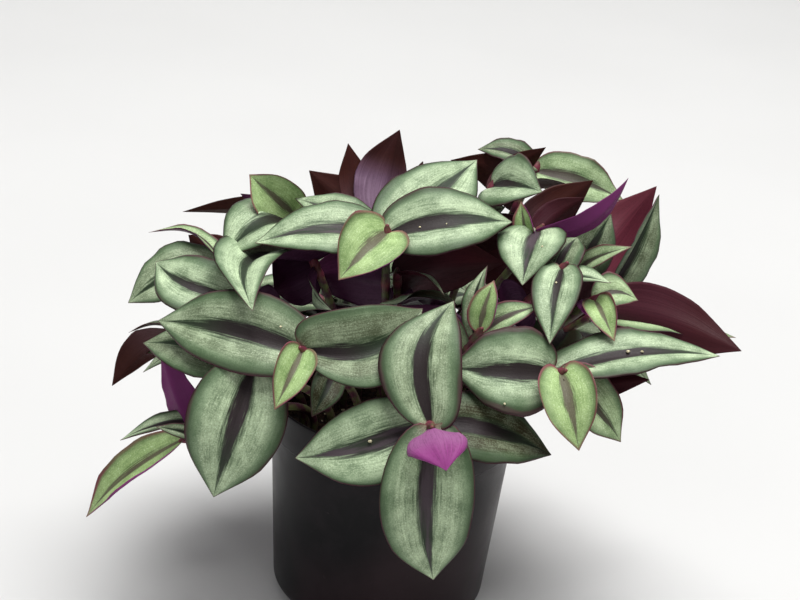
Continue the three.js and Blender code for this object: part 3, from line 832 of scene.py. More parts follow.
def quarter_turn(radius: float, steps: int) -> list[Pair]:
    """Gives a rounded corner that turns from flat to upright.

    Args:
        radius: Its radius.
        steps: How many steps it has.

    Returns:
        Points as distance and rise from its start, without the start itself.
    """
    turns = [math.radians(90.0 * step / steps) for step in range(1, steps + 1)]
    return [(radius * math.sin(turn), radius * (1 - math.cos(turn))) for turn in turns]


def polar(angle: float, reach: float, height: float) -> np.ndarray:
    """Gives a point by its angle, its distance from the upright axis and its height."""
    return np.array([reach * math.cos(angle), reach * math.sin(angle), height])


def spread_holes(
    stems: list[Stem],
    pull: float = 0.42,
    spacing: float = 11.0,
    reach: float = 39.0,
    rounds: int = 200,
) -> None:
    """Starts each stem under its own end and pushes stems apart that stand too close.

    Args:
        stems: The stems, which are given their paths.
        pull: How far out a stem first stands, as a share of its end's distance.
        spacing: The least distance between two stems, in mm.
        reach: How far from the middle a stem may stand, in mm.
        rounds: How often the stems are pushed apart.
    """
    holes = [stem.end[:2] * pull for stem in stems]
    for _ in range(rounds):
        for first in range(len(holes)):
            for second in range(first + 1, len(holes)):
                away = holes[first] - holes[second]
                distance = math.hypot(away[0], away[1])
                if distance < spacing:
                    push = away / distance * ((spacing - distance) / 2)
                    holes[first] = holes[first] + push
                    holes[second] = holes[second] - push
        for index, hole in enumerate(holes):
            distance = math.hypot(hole[0], hole[1])
            holes[index] = hole / (distance or 1.0) * min(distance, reach)
    for stem, hole in zip(stems, holes):
        stem.path = StemPath(hole, stem.end)


# Meshes


def new_piece(
    name: str,
    points: np.ndarray,
    faces: Faces,
    materials: list[bpy.types.Material],
    smooth: bool = True,
) -> bpy.types.Object:
    """Makes a piece of mesh and puts it in the scene.

    Args:
        name: The piece's name.
        points: Its points, in metres.
        faces: Its faces.
        materials: Its materials, in the order of their numbers.
        smooth: Whether its faces are shaded smooth.

    Returns:
        The piece.
    """
    mesh = bpy.data.meshes.new(name)
    mesh.from_pydata(points.tolist(), [], faces)
    mesh.polygons.foreach_set("use_smooth", [smooth] * len(faces))
    for material in materials:
        mesh.materials.append(material)
    mesh.update()
    piece = bpy.data.objects.new(name, mesh)
    bpy.context.scene.collection.objects.link(piece)
    return piece


@dataclass
class Forms:
    """Points and faces of closed forms gathered for one piece, in millimetres."""

    points: list[np.ndarray] = field(default_factory=list)
    faces: Faces = field(default_factory=list)
    count: int = 0

    def join(self, points: np.ndarray, faces: Faces) -> None:
        """Adds one closed form.

        Args:
            points: Its points.
            faces: Its faces, counted from its own first point.
        """
        self.points.append(points)
        self.faces += [tuple(corner + self.count for corner in face) for face in faces]
        self.count += len(points)

    def made(
        self,
        name: str,
        materials: list[bpy.types.Material],
        smooth: bool = True,
    ) -> bpy.types.Object:
        """Makes the gathered forms into one piece.

        Args:
            name: The piece's name.
            materials: Its materials, in the order of their numbers.
            smooth: Whether its faces are shaded smooth.

        Returns:
            The piece, in metres.
        """
        return new_piece(name, np.concatenate(self.points) * METRES, self.faces, materials, smooth)


@dataclass
class MeshParts(Forms):
    """The forms of one leafy stem, with what the shaders need.

    Each face has a material number, and each point three triples of numbers for the shaders:
    its place on the leaf or stem, the kind of leaf it is on, and that leaf's tint.
    """

    finishes: list[int] = field(default_factory=list)
    places: list[np.ndarray] = field(default_factory=list)
    kinds: list[np.ndarray] = field(default_factory=list)
    tints: list[np.ndarray] = field(default_factory=list)

    def add(
        self,
        points: np.ndarray,
        faces: Faces,
        finishes: list[int],
        places: np.ndarray,
        kind: Triple,
        tint: Triple = (0.0, 0.0, 0.0),
    ) -> None:
        """Adds one closed form.

        Args:
            points: Its points.
            faces: Its faces, counted from its own first point.
            finishes: The material number of each face.
            places: The place of each point on its leaf or stem.
            kind: The leaf's age, tone and seed.
            tint: The leaf's browning, dullness (partly painted shade), and bloom with painted sheen or,
                below 0, depth (painted shade on the near-black leaves).
        """
        self.join(points, faces)
        self.finishes += finishes
        self.places.append(places)
        self.kinds.append(np.tile(np.array(kind, dtype=float), (len(points), 1)))
        self.tints.append(np.tile(np.array(tint, dtype=float), (len(points), 1)))

    def piece(self, name: str, materials: list[bpy.types.Material]) -> bpy.types.Object:
        """Makes the gathered forms into one smooth piece.

        Args:
            name: The piece's name.
            materials: Its materials, in the order of their numbers.

        Returns:
            The piece, in metres.
        """
        piece = self.made(name, materials)
        piece.data.polygons.foreach_set("material_index", self.finishes)
        labelled = {"leaf_place": self.places, "leaf_kind": self.kinds, "leaf_tint": self.tints}
        for label, values in labelled.items():
            attribute = piece.data.attributes.new(label, "FLOAT_VECTOR", "POINT")
            attribute.data.foreach_set("vector", np.concatenate(values).astype(np.float32).ravel())
        piece.data.update()
        return piece


@dataclass
class LeafForm:
    """The fine form of a leaf: a soft keel, arched halves and a waved edge, in mm and degrees."""

    rows: int = 26
    columns: int = 13
    column_spread: float = 0.86
    thickness: float = 0.62
    thin_end: float = 0.25
    end_growth: float = 9.0
    keel: float = 1.3
    belly: float = 0.075
    wave: float = 0.06
    wave_range: Pair = (0.4, 1.5)
    wave_shift: float = 0.31
    waves: float = 1.9
    ripple: float = 0.45
    ripple_phase: float = 3.7
    ripple_shift: float = 0.2
    ripples: float = 2.6
    roll: float = 0.2
    roll_start: float = 0.78
    roll_narrowing: float = 0.4
    uneven_fold: float = 4.0
    twist: float = 9.0
    twist_middle: float = 0.3
    sheath_fold: float = 34.0
    sheath_share: float = 0.06
    foot_round: float = 0.02
    drawn_tip: float = 0.42
    tip_start: float = 0.66

    def half_width(self, blade: Blade, share: np.ndarray) -> np.ndarray:
        """Gives half the leaf's width, drawn in toward a pointed tip."""
        near_tip = np.clip((share - self.tip_start) / (1 - self.tip_start), 0.0, 1.0)
        return blade.outline(share) * (1 - self.drawn_tip * near_tip**1.5)

    def middle(
        self,
        blade: Blade,
        share: np.ndarray,
        across: np.ndarray,
        chance: random.Random,
    ) -> np.ndarray:
        """Gives the surface halfway through the leaf's thickness.

        Args:
            blade: The leaf.
            share: The share of the length, one row for each.
            across: The place from edge to edge, -1 to 1, one column for each.
            chance: The source of random numbers.

        Returns:
            The points, rows by columns by 3.
        """
        s, v = share[:, None], across[None, :]
        side_share = np.abs(v)
        place = s - blade.look.lobe * side_share**2 * (1 - s) ** 6 * s / (s + self.foot_round)
        length = blade.length()
        along, up, side = blade.axes()
        slope = blade.arch * np.pi * np.cos(np.pi * place)
        normal = units(up - along * slope[..., None])
        half = self.half_width(blade, share)[:, None]
        reach = half * v
        phase = chance.random()
        lean = chance.uniform(-1.0, 1.0) * self.uneven_fold
        lean = lean + chance.uniform(-1.0, 1.0) * self.twist * (s - self.twist_middle)
        wave = self.wave * chance.uniform(*self.wave_range)
        sheath = self.sheath_fold * np.exp(-s / self.sheath_share)
        fold = np.radians(blade.fold + lean * np.sign(v) + sheath)
        lift = np.sin(fold) * (np.sqrt(reach**2 + self.keel**2) - self.keel)
        lift = lift + self.belly * half * 4 * side_share * (1 - side_share)
        swing = np.sin(2 * np.pi * (self.waves * s + phase + self.wave_shift * np.sign(v)))
        quick = self.ripples * self.waves * s + self.ripple_phase * phase - self.ripple_shift * np.sign(v)
        swing = swing + self.ripple * np.sin(2 * np.pi * quick)
        lift = lift + wave * half * side_share**3 * swing * np.sin(np.pi * s)
        past_start = np.clip((side_share - self.roll_start) / (1 - self.roll_start), 0, 1)
        rolled = self.roll * blade.look.age.value * past_start**2
        lift = lift + rolled * half * np.sin(np.pi * np.clip(s, 0, 1)) ** 0.5
        drawn_in = reach * np.cos(fold) * (1 - self.roll_narrowing * rolled)
        sideways = blade.bow * length * np.sin(np.pi * place) + drawn_in
        height = length * blade.arch * np.sin(np.pi * place)
        flat = blade.foot + along * (length * place)[..., None] + up * height[..., None]
        return flat + side * sideways[..., None] + normal * lift[..., None]

    def add(self, blade: Blade, parts: MeshParts, seed: float) -> None:
        """Adds the leaf to a piece as a closed form, its top first and its underside second.

        Args:
            blade: The leaf.
            parts: The piece's gathered forms.
            seed: The leaf's own number from 0 to 1.
        """
        chance = random.Random(round(seed * 1e6))
        steps = np.linspace(0.0, 1.0, self.rows + 1)
        share = ((1 - np.cos(np.pi * steps)) / 2)[1:-1]
        turn = np.pi / 2 * self.column_spread
        across = np.sin(np.linspace(-1.0, 1.0, self.columns) * turn) / math.sin(turn)
        grid = self.middle(blade, share, across, chance)
        normal = units(np.cross(np.gradient(grid, axis=1), np.gradient(grid, axis=0)))
        edge = np.sqrt(np.clip(1 - across**4, 0, 1))[None, :]
        taper = np.clip(share * (1 - share) * self.end_growth, self.thin_end, 1)[:, None]
        rise = normal * (self.thickness / 2 * edge * taper)[..., None]
        top, under = grid + rise, (grid - rise)[:, 1:-1]
        ring = np.concatenate([top, under], axis=1)
        ends = np.array([blade.foot, blade.tip])
        points = np.concatenate([ring.reshape(-1, 3), ends])
        half = self.half_width(blade, share)
        top_place = self.places(share, across, half)
        under_place = self.places(share, across[1:-1], half)
        ring_place = np.concatenate([top_place, under_place], axis=1).reshape(-1, 3)
        places = np.concatenate([ring_place, [[0.0, 0.0, 0.1], [1.0, 0.0, 0.1]]])
        faces, finishes = self.faces()
        look = blade.look
        kind = (look.age.value, look.tone.value, seed)
        shade = look.bloom_and_sheen if look.depth == 0 else -look.depth
        parts.add(points, faces, finishes, places, kind, (look.browning, look.dull, shade))

    def places(self, share: np.ndarray, across: np.ndarray, half: np.ndarray) -> np.ndarray:
        """Gives each point's share of the length, place from edge to edge and half width.

        Args:
            share: The share of the length, one row for each.
            across: The place from edge to edge, one column for each.
            half: The half width of each row.

        Returns:
            The three numbers of each point.
        """
        spread = np.broadcast_to(share[:, None], (len(share), len(across)))
        sides = np.broadcast_to(across[None, :], spread.shape)
        halves = np.broadcast_to(half[:, None], spread.shape)
        return np.stack([spread, sides, halves], axis=2)

    def faces(self) -> tuple[Faces, list[int]]:
        """Lists the faces of a leaf's grid.

        Returns:
            The faces, and the material number of each.
        """
        rows, columns = self.rows - 1, self.columns
        stride = 2 * columns - 2
        foot, tip = rows * stride, rows * stride + 1

        def above(row: int, column: int) -> int:
            """Gives the number of a point on the top."""
            return row * stride + column

        def below(row: int, column: int) -> int:
            """Gives the number of a point underneath, which shares the top's edges.

            Args:
                row: The point's row.
                column: Its column.

            Returns:
                The number.
            """
            if column in (0, columns - 1):
                return above(row, column)
            return row * stride + columns + column - 1

        faces: Faces = []
        finishes: list[int] = []
        for column in range(columns - 1):
            beside = column + 1
            for skin, at in ((Skin.TOP, above), (Skin.UNDERSIDE, below)):
                strip = [(foot, at(0, beside), at(0, column))]
                for row in range(rows - 1):
                    ahead = row + 1
                    strip.append((at(row, column), at(row, beside), at(ahead, beside), at(ahead, column)))
                strip.append((at(rows - 1, column), at(rows - 1, beside), tip))
                faces += [face if skin is Skin.TOP else face[::-1] for face in strip]
                finishes += [skin.value] * len(strip)
        return faces, finishes


@dataclass
class StemForm:
    """The fine form of a stem: a round fleshy tube, swollen at its joints, in millimetres."""

    radius: float = 1.65
    swell: float = 0.4
    joint_length: float = 2.0
    end_taper: float = 3.5
    end_share: float = 0.45
    sides: int = 12
    steps: int = 60
    cap_rings: int = 4

    def add(self, stem: Stem, parts: MeshParts) -> None:
        """Adds the stem to a piece.

        Args:
            stem: The stem.
            parts: The piece's gathered forms.
        """
        line = stem.path.spaced(self.steps)
        length = float(np.sum(np.linalg.norm(np.diff(line, axis=0), axis=1)))
        share = np.linspace(0.0, 1.0, len(line))
        flush = np.zeros(len(line))
        for blade in stem.blades:
            nearest = int(np.argmin(np.linalg.norm(line - blade.foot, axis=1)))
            distance = (share - share[nearest]) * length / self.joint_length
            flush = np.maximum(flush, np.exp(-(distance**2)))
        radius = self.radius + self.swell * flush
        from_end = np.clip((1 - share) * length / self.end_taper, 0.0, 1.0)
        radius = radius * (self.end_share + (1 - self.end_share) * np.sin(from_end * np.pi / 2))
        heading = unit(line[-1] - line[-2])
        for ring in range(1, self.cap_rings + 1):
            turn = ring / (self.cap_rings + 0.5) * math.pi / 2
            line = np.vstack([line, line[self.steps] + heading * radius[self.steps] * math.sin(turn)])
            radius = np.append(radius, radius[self.steps] * math.cos(turn))
            flush = np.append(flush, 1.0)
            share = np.append(share, 1.0)
        points, faces = tube(line, radius, self.sides)
        places = np.repeat(np.stack([share, flush, radius], axis=1), self.sides, axis=0)
        places = np.concatenate([places, [[0.0, 0.0, 1.0], [1.0, 1.0, 1.0]]])
        parts.add(points, faces, [Skin.STEM.value] * len(faces), places, (0.0, 0.0, 0.5))


def tube(line: np.ndarray, radius: np.ndarray, sides: int) -> tuple[np.ndarray, Faces]:
    """Makes a closed tube round a line.

    Args:
        line: The centre line's points.
        radius: The radius at each of them.
        sides: How many sides the tube has.

    Returns:
        The points, ring by ring and then the two ends' middles, and the faces.
    """
    direction = units(np.gradient(line, axis=0))
    seam = np.array([0.3, 1.0, 0.1])
    across = unit(np.cross(direction[0], seam))
    rings = []
    angles = np.arange(sides) * 2 * np.pi / sides
    for point, heading, size in zip(line, direction, radius):
        across = unit(across - heading * float(across @ heading))
        other = np.cross(heading, across)
        rings.append(point + size * (np.cos(angles)[:, None] * across + np.sin(angles)[:, None] * other))
    return np.concatenate(rings + [line[:1], line[-1:]]), ring_faces(len(line), sides)


def ring_faces(rings: int, sides: int) -> Faces:
    """Joins rings of points into a closed form.

    Args:
        rings: How many rings there are.
        sides: How many points a ring has.

    Returns:
        The faces. The two ends' middles come after the rings' points.
    """
    start, stop = rings * sides, rings * sides + 1
    faces: Faces = []
    for side in range(sides):
        beside = (side + 1) % sides
        faces.append((start, beside, side))
        for here in range(0, (rings - 1) * sides, sides):
            ahead = here + sides
            faces.append((here + side, here + beside, ahead + beside, ahead + side))
        last = (rings - 1) * sides
        faces.append((last + side, last + beside, stop))
    return faces


# Finishes


class Shader:
    """A material whose look is worked out by nodes."""

    def __init__(self, name: str) -> None:
        """Makes the material.

        Args:
            name: Its name.
        """
        self.material = bpy.data.materials.new(name)
        self.material.use_nodes = True
        self.tree = self.material.node_tree
        self.surface = self.tree.nodes["Principled BSDF"]

    def node(self, kind: str, **settings: object) -> bpy.types.Node:
        """Adds a node with some of its settings.

        Args:
            kind: The node's type.
            settings: The settings to give it.

        Returns:
            The node.
        """
        made = self.tree.nodes.new(kind)
        for name, setting in settings.items():
            setattr(made, name, setting)
        return made

    def feed(self, socket: Socket, value: object) -> None:
        """Links a socket to another one, or sets it to a constant.

        Args:
            socket: The socket.
            value: The other socket or the constant.
        """
        if isinstance(value, Socket):
            self.tree.links.new(value, socket)
        else:
            socket.default_value = value

    def math(self, operation: str, *values: object) -> Socket:
        """Works out one sum.

        Args:
            operation: The node's operation.
            values: The numbers or sockets it takes.

        Returns:
            The result.
        """
        made = self.node("ShaderNodeMath", operation=operation)
        for socket, value in zip(made.inputs, values):
            self.feed(socket, value)
        return made.outputs[0]

    def times(self, first: object, second: object) -> Socket:
        """Multiplies two values."""
        return self.math("MULTIPLY", first, second)

    def plus(self, first: object, second: object) -> Socket:
        """Adds two values."""
        return self.math("ADD", first, second)

    def minus(self, first: object, second: object) -> Socket:
        """Takes the second value from the first."""
        return self.math("SUBTRACT", first, second)

    def ramp(
        self,
        value: object,
        low: float,
        high: float,
        start: float = 0.0,
        stop: float = 1.0,
    ) -> Socket:
        """Eases a value from one range into another.

        Args:
            value: The value.
            low: Where it starts to change.
            high: Where it stops.
            start: The result at the low end.
            stop: The result at the high end.

        Returns:
            The eased value.
        """
        made = self.node("ShaderNodeMapRange", interpolation_type="SMOOTHSTEP")
        for socket, given in zip(made.inputs, (value, low, high, start, stop)):
            self.feed(socket, given)
        return made.outputs[0]

    def mix(self, share: object, first: object, second: object) -> Socket:
        """Mixes two colours.

        Args:
            share: How much of the second there is.
            first: The first colour.
            second: The second colour.

        Returns:
            The mixed colour.
        """
        made = self.node("ShaderNodeMix", data_type="RGBA")
        self.feed(made.inputs[0], share)
        self.feed(made.inputs[6], first)
        self.feed(made.inputs[7], second)
        return made.outputs[2]

    def vector(self, first: object, second: object, third: object) -> Socket:
        """Joins three values into a vector.

        Args:
            first: The first value.
            second: The second value.
            third: The third value.

        Returns:
            The vector.
        """
        made = self.node("ShaderNodeCombineXYZ")
        for socket, value in zip(made.inputs, (first, second, third)):
            self.feed(socket, value)
        return made.outputs[0]

    def triple(self, name: str) -> tuple[Socket, ...]:
        """Reads the three numbers that a mesh keeps under a name.

        Args:
            name: The attribute's name.

        Returns:
            The three values.
        """
        source = self.node("ShaderNodeAttribute", attribute_type="GEOMETRY", attribute_name=name)
        parts = self.node("ShaderNodeSeparateXYZ")
        self.feed(parts.inputs[0], source.outputs["Vector"])
        return tuple(parts.outputs)

    def sway(self, value: object, other: object, middle: float, amount: float) -> Socket:
        """Moves a value by an amount of how far another lies from its middle."""
        return self.plus(value, self.times(self.minus(other, middle), amount))

    def lines(self, across: object, share: object, seed: object, count: float, length: float) -> Socket:
        """Gives a place that changes fast across a leaf and slowly along it.

        Args:
            across: The place from edge to edge.
            share: The share of the length.
            seed: The leaf's own number.
            count: How many lines there are across half a leaf.
            length: How often they change along the leaf.

        Returns:
            The place.
        """
        start = self.times(seed, LEAF_SHIFT)
        return self.vector(self.times(across, count), self.times(share, length), start)

    def noise(self, place: object, scale: float, detail: float = 2.0, rough: float = 0.5) -> Socket:
        """Gives a cloudy value between 0 and 1.

        Args:
            place: Where it is looked up.
            scale: How fine it is.
            detail: How many finer layers it has.
            rough: How strong those are.

        Returns:
            The value.
        """
        made = self.node("ShaderNodeTexNoise", noise_dimensions="3D")
        self.feed(made.inputs["Vector"], place)
        made.inputs["Scale"].default_value = scale
        made.inputs["Detail"].default_value = detail
        made.inputs["Roughness"].default_value = rough
        return made.outputs["Fac"]

    def spot(self) -> Socket:
        """Gives the point's own place on the object, in metres."""
        return self.node("ShaderNodeTexCoord").outputs["Object"]

    def bump(self, height: object, distance: float, strength: float) -> None:
        """Raises the surface by a height.

        Args:
            height: The height, about 0 to 1.
            distance: How high 1 is, in metres.
            strength: How much of it shows.
        """
        made = self.node("ShaderNodeBump")
        made.inputs["Strength"].default_value = strength
        made.inputs["Distance"].default_value = distance
        self.feed(made.inputs["Height"], height)
        self.feed(self.surface.inputs["Normal"], made.outputs[0])

    def finish(self, colour: object, roughness: object, **constants: float) -> bpy.types.Material:
        """Sets the surface's colour, roughness and constant numbers.

        Args:
            colour: The colour.
            roughness: The roughness.
            constants: Other inputs, with underscores for spaces.

        Returns:
            The material.
        """
        self.feed(self.surface.inputs["Base Color"], colour)
        self.feed(self.surface.inputs["Roughness"], roughness)
        for name, value in constants.items():
            self.surface.inputs[name.replace("_", " ")].default_value = value
        return self.material


@dataclass(frozen=True)
class LeafTop:
    """The top of a leaf: grainy silver bands with painted glints, a feathered centre stripe and a dark
    margin.
    """

    silver: Colour = srgb(205, 225, 186)
    silver_shade: Colour = srgb(112, 132, 102)
    # Colour of the painted glints: bright points of painted highlight.
    painted_glint: Colour = srgb(236, 244, 222)
    fresh: Colour = srgb(186, 212, 150)
    fresh_shade: Colour = srgb(120, 148, 90)
    # Dull olive that tops are mixed toward: partly their own tone, partly painted shade.
    dull: Colour = srgb(62, 60, 38)
    # Near black that the darkest leaves are mixed toward, as painted shade.
    dark: Colour = srgb(22, 16, 20)
    between: Colour = srgb(82, 108, 76)
    halo: Colour = srgb(60, 80, 56)
    stripe_foot: Colour = srgb(38, 24, 32)
    stripe_tip: Colour = srgb(38, 50, 36)
    stripe_bloom: Colour = srgb(84, 68, 80)
    young_stripe: Colour = srgb(84, 58, 64)
    margin: Colour = srgb(56, 74, 50)
    margin_purple: Colour = srgb(76, 50, 56)
    rim: Colour = srgb(84, 48, 58)
    young_rim: Colour = srgb(132, 58, 78)
    joint: Colour = srgb(140, 72, 84)

    def material(self) -> bpy.types.Material:
        """Makes the material.

        Returns:
            The material for the upper side of every leaf.
        """
        shader = Shader("leaf_top")
        share, across, half = shader.triple("leaf_place")
        age, _, seed = shader.triple("leaf_kind")
        _, dull, _ = shader.triple("leaf_tint")
        side = shader.math("ABSOLUTE", across)
        fine = shader.noise(shader.lines(across, share, seed, 26.0, 5.0), 1.0, 3.0, 0.6)
        broad = shader.noise(shader.lines(across, share, seed, 6.0, 2.6), 1.0, 2.0)
        grain = shader.noise(shader.spot(), 1700.0, 2.0, 0.7)
        cloud = shader.noise(shader.spot(), 130.0, 2.0)
        lit = shader.plus(shader.times(fine, 0.36), shader.times(grain, 0.42))
        lit = shader.plus(lit, shader.times(cloud, 0.46))
        lit = shader.ramp(lit, 0.4, 0.84)
        band = shader.mix(lit, self.silver_shade, self.silver)
        fresh = shader.mix(lit, self.fresh_shade, self.fresh)
        colour = shader.mix(age, band, fresh)
        # Dulling toward olive: partly the leaf's own duller tone, partly painted shade.
        dull_and_shade_share = shader.times(dull, shader.ramp(lit, 0.0, 1.0, 0.92, 0.6))
        colour = shader.mix(dull_and_shade_share, colour, self.dull)
        ragged = shader.sway(side, fine, 0.5, 0.12)
        ragged = shader.sway(ragged, broad, 0.5, 0.22)
        ragged = shader.sway(ragged, seed, 0.6, 0.16)
        # Painted glints: fine bright points of painted highlight, mixed into the colour where the grain
        # peaks, away from the edge.
        painted_glints = shader.times(shader.ramp(grain, 0.6, 0.74, 0.0, 0.55), shader.ramp(side, 0.95, 0.6))
        painted_glints = shader.times(painted_glints, shader.ramp(dull, 0.3, 1.1, 1.0, 0.1))
        colour = shader.mix(shader.times(painted_glints, lit), colour, self.painted_glint)
        colour = self.with_margin(shader, colour, ragged, age)
        colour = self.with_stripe(shader, colour, side, share, fine, broad, age, seed, dull)
        rim = shader.mix(age, self.rim, self.young_rim)
        edge_distance = shader.times(shader.minus(1.0, side), half)
        rim_width = shader.ramp(age, 0.0, 1.0, 0.6, 1.7)
        at_edge = shader.ramp(edge_distance, rim_width, 0.2, 0.0, 0.9)
        rim_share = shader.times(at_edge, shader.ramp(broad, 0.3, 0.6, 0.55, 1.0))
        colour = shader.mix(rim_share, colour, rim)
        colour = shader.mix(shader.ramp(share, 0.045, 0.004, 0.0, 0.5), colour, self.joint)
        # Painted shade: tops dulled past 1 turn toward near black.
        colour = shader.mix(shader.ramp(dull, 1.0, 2.0), colour, self.dark)
        height = shader.plus(shader.times(fine, 0.6), shader.times(grain, 0.5))
        shader.bump(height, 0.0002, 0.6)
        rough = shader.ramp(grain, 0.25, 0.75, 0.52, 0.36)
        return shader.finish(colour, rough, Specular_IOR_Level=0.15)

    def with_margin(self, shader: Shader, colour: object, ragged: object, age: object) -> Socket:
        """Adds the mid green and dark bands along the edge.

        Args:
            shader: The material.
            colour: The leaf's colour so far.
            ragged: How near the edge a point is, with an uneven start.
            age: How young the leaf is.

        Returns:
            The new colour.
        """
        strong = shader.ramp(age, 0.0, 1.0, 1.0, 0.4)
        middle = shader.times(shader.ramp(ragged, 0.5, 0.8, 0.0, 0.7), strong)
        colour = shader.mix(middle, colour, self.between)
        dark = shader.times(shader.ramp(ragged, 0.7, 0.92, 0.0, 0.85), strong)
        colour = shader.mix(dark, colour, self.margin)
        purple = shader.times(shader.ramp(ragged, 0.88, 1.0, 0.0, 0.8), strong)
        return shader.mix(purple, colour, self.margin_purple)

    def with_stripe(
        self,
        shader: Shader,
        colour: object,
        side: object,
        share: object,
        fine: object,
        broad: object,
        age: object,
        seed: object,
        dull: object,
    ) -> Socket:
        """Adds the feathered stripe along the midrib.

        Args:
            shader: The material.
            colour: The leaf's colour so far.
            side: How far from the midrib a point is.
            share: The share of the length.
            fine: The fine streaks.
            broad: The broad streaks.
            age: How young the leaf is.
            seed: The leaf's own number.
            dull: How dull the leaf is, partly its own duller tone and partly painted shade.

        Returns:
            The new colour.
        """
        bulge = shader.math("DIVIDE", shader.minus(share, 0.3), 0.66)
        width = shader.minus(1.0, shader.times(bulge, bulge))
        own_width = shader.ramp(shader.math("FRACT", shader.times(seed, 7.0)), 0.0, 1.0, 0.17, 0.24)
        own_width = shader.times(own_width, shader.ramp(age, 0.0, 1.0, 1.0, 0.8))
        width = shader.times(shader.math("MAXIMUM", width, 0.0), own_width)
        ragged = shader.sway(side, fine, 0.5, 0.3)
        ragged = shader.sway(ragged, broad, 0.5, 0.16)
        distance = shader.minus(ragged, width)
        halo = shader.ramp(distance, 0.14, 0.0, 0.0, 0.7)
        halo = shader.times(halo, shader.ramp(age, 0.0, 1.0, 1.0, 0.4))
        colour = shader.mix(halo, colour, self.halo)
        inside = shader.ramp(distance, 0.05, -0.05)
        turn = shader.plus(shader.times(seed, 0.45), 0.15)
        greening = shader.ramp(shader.minus(share, turn), 0.0, 0.45)
        stripe = shader.mix(greening, self.stripe_foot, self.stripe_tip)
        bloomed = shader.ramp(shader.math("FRACT", shader.times(seed, 13.0)), 0.5, 0.9, 0.0, 0.8)
        bloomed = shader.times(bloomed, shader.ramp(dull, 0.0, 0.6, 1.0, 0.0))
        stripe = shader.mix(shader.times(bloomed, shader.ramp(broad, 0.35, 0.6)), stripe, self.stripe_bloom)
        stripe = shader.mix(age, stripe, self.young_stripe)
        strength = shader.times(inside, shader.ramp(age, 0.0, 1.0, 0.94, 0.75))
        return shader.mix(strength, colour, stripe)


@dataclass(frozen=True)
class LeafUnderside:
    """The underside of a leaf: violet, plum, maroon or brown, with faint lengthwise lines."""

    violet: Colour = srgb(146, 62, 130)
    plum: Colour = srgb(66, 26, 58)
    maroon: Colour = srgb(66, 25, 34)
    young_maroon: Colour = srgb(129, 56, 72)
    brown: Colour = srgb(66, 31, 26)
    # Greyish bloom colour, which also paints the glossy sheen near the foot.
    bloom_and_sheen: Colour = srgb(158, 132, 156)
    deep: Colour = srgb(30, 10, 22)

    def material(self) -> bpy.types.Material:
        """Makes the material.

        Returns:
            The material for the underside of every leaf.
        """
        shader = Shader("leaf_underside")
        share, across, _ = shader.triple("leaf_place")
        age, tone, seed = shader.triple("leaf_kind")
        browning, _, shade = shader.triple("leaf_tint")
        fine = shader.noise(shader.lines(across, share, seed, 22.0, 2.0), 1.0, 3.0, 0.6)
        grain = shader.noise(shader.spot(), 900.0, 2.0, 0.6)
        shift = shader.times(browning, shader.ramp(share, 0.35, 0.8))
        tone = shader.plus(tone, shift)
        colour = shader.mix(shader.ramp(tone, 0.0, 0.35), self.violet, self.plum)
        maroon = shader.mix(age, self.maroon, self.young_maroon)
        colour = shader.mix(shader.ramp(tone, 0.35, 0.7), colour, maroon)
        colour = shader.mix(shader.ramp(tone, 0.7, 1.0), colour, self.brown)
        # Near the foot: a greyish bloom that also paints the sheen of the glossy underside.
        bloom_and_sheen = shader.math("MAXIMUM", shade, 0.0)
        lines = shader.ramp(fine, 0.5, 0.8, 0.05, 1.0)
        near_foot = shader.ramp(share, 0.3, 0.72, 1.0, 0.05)
        bloom_and_sheen = shader.times(bloom_and_sheen, shader.times(near_foot, shader.ramp(lines, 0.0, 1.0, 0.6, 1.0)))
        colour = shader.mix(bloom_and_sheen, colour, self.bloom_and_sheen)
        dark = shader.ramp(shader.plus(fine, shader.times(grain, 0.4)), 0.35, 0.8, 0.4, 0.0)
        # Depth darkens the whole underside: the deeper violet of some leaves, and painted shade on the
        # near-black inner leaves.
        dark = shader.math("MAXIMUM", dark, shader.times(shade, -1.0))
        colour = shader.mix(dark, colour, self.deep)
        shader.bump(shader.plus(fine, shader.times(grain, 0.3)), 0.00018, 0.6)
        return shader.finish(colour, shader.ramp(grain, 0.3, 0.7, 0.52, 0.4), Specular_IOR_Level=0.12)


@dataclass(frozen=True)
class StemSkin:
    """The skin of a stem: green streaked with purple, pinker at its joints; the green and purple are
    darkened, partly painted shade for the plant's shaded inside.
    """

    # Stem colours are the stem's own green and purple, darkened as partly painted shade.
    green: Colour = srgb(84, 90, 54)
    purple: Colour = srgb(70, 34, 48)
    joint: Colour = srgb(138, 58, 78)

    def material(self) -> bpy.types.Material:
        """Makes the material.

        Returns:
            The material for every stem.
        """
        shader = Shader("stem_skin")
        _, flush, _ = shader.triple("leaf_place")
        blotch = shader.noise(shader.spot(), 260.0, 3.0, 0.6)
        grain = shader.noise(shader.spot(), 1400.0, 2.0, 0.6)
        colour = shader.mix(shader.ramp(blotch, 0.38, 0.62), self.green, self.purple)
        colour = shader.mix(shader.times(flush, 0.65), colour, self.joint)
        shader.bump(grain, 0.0002, 0.5)
        return shader.finish(colour, shader.ramp(grain, 0.3, 0.7, 0.48, 0.34), Specular_IOR_Level=0.3)


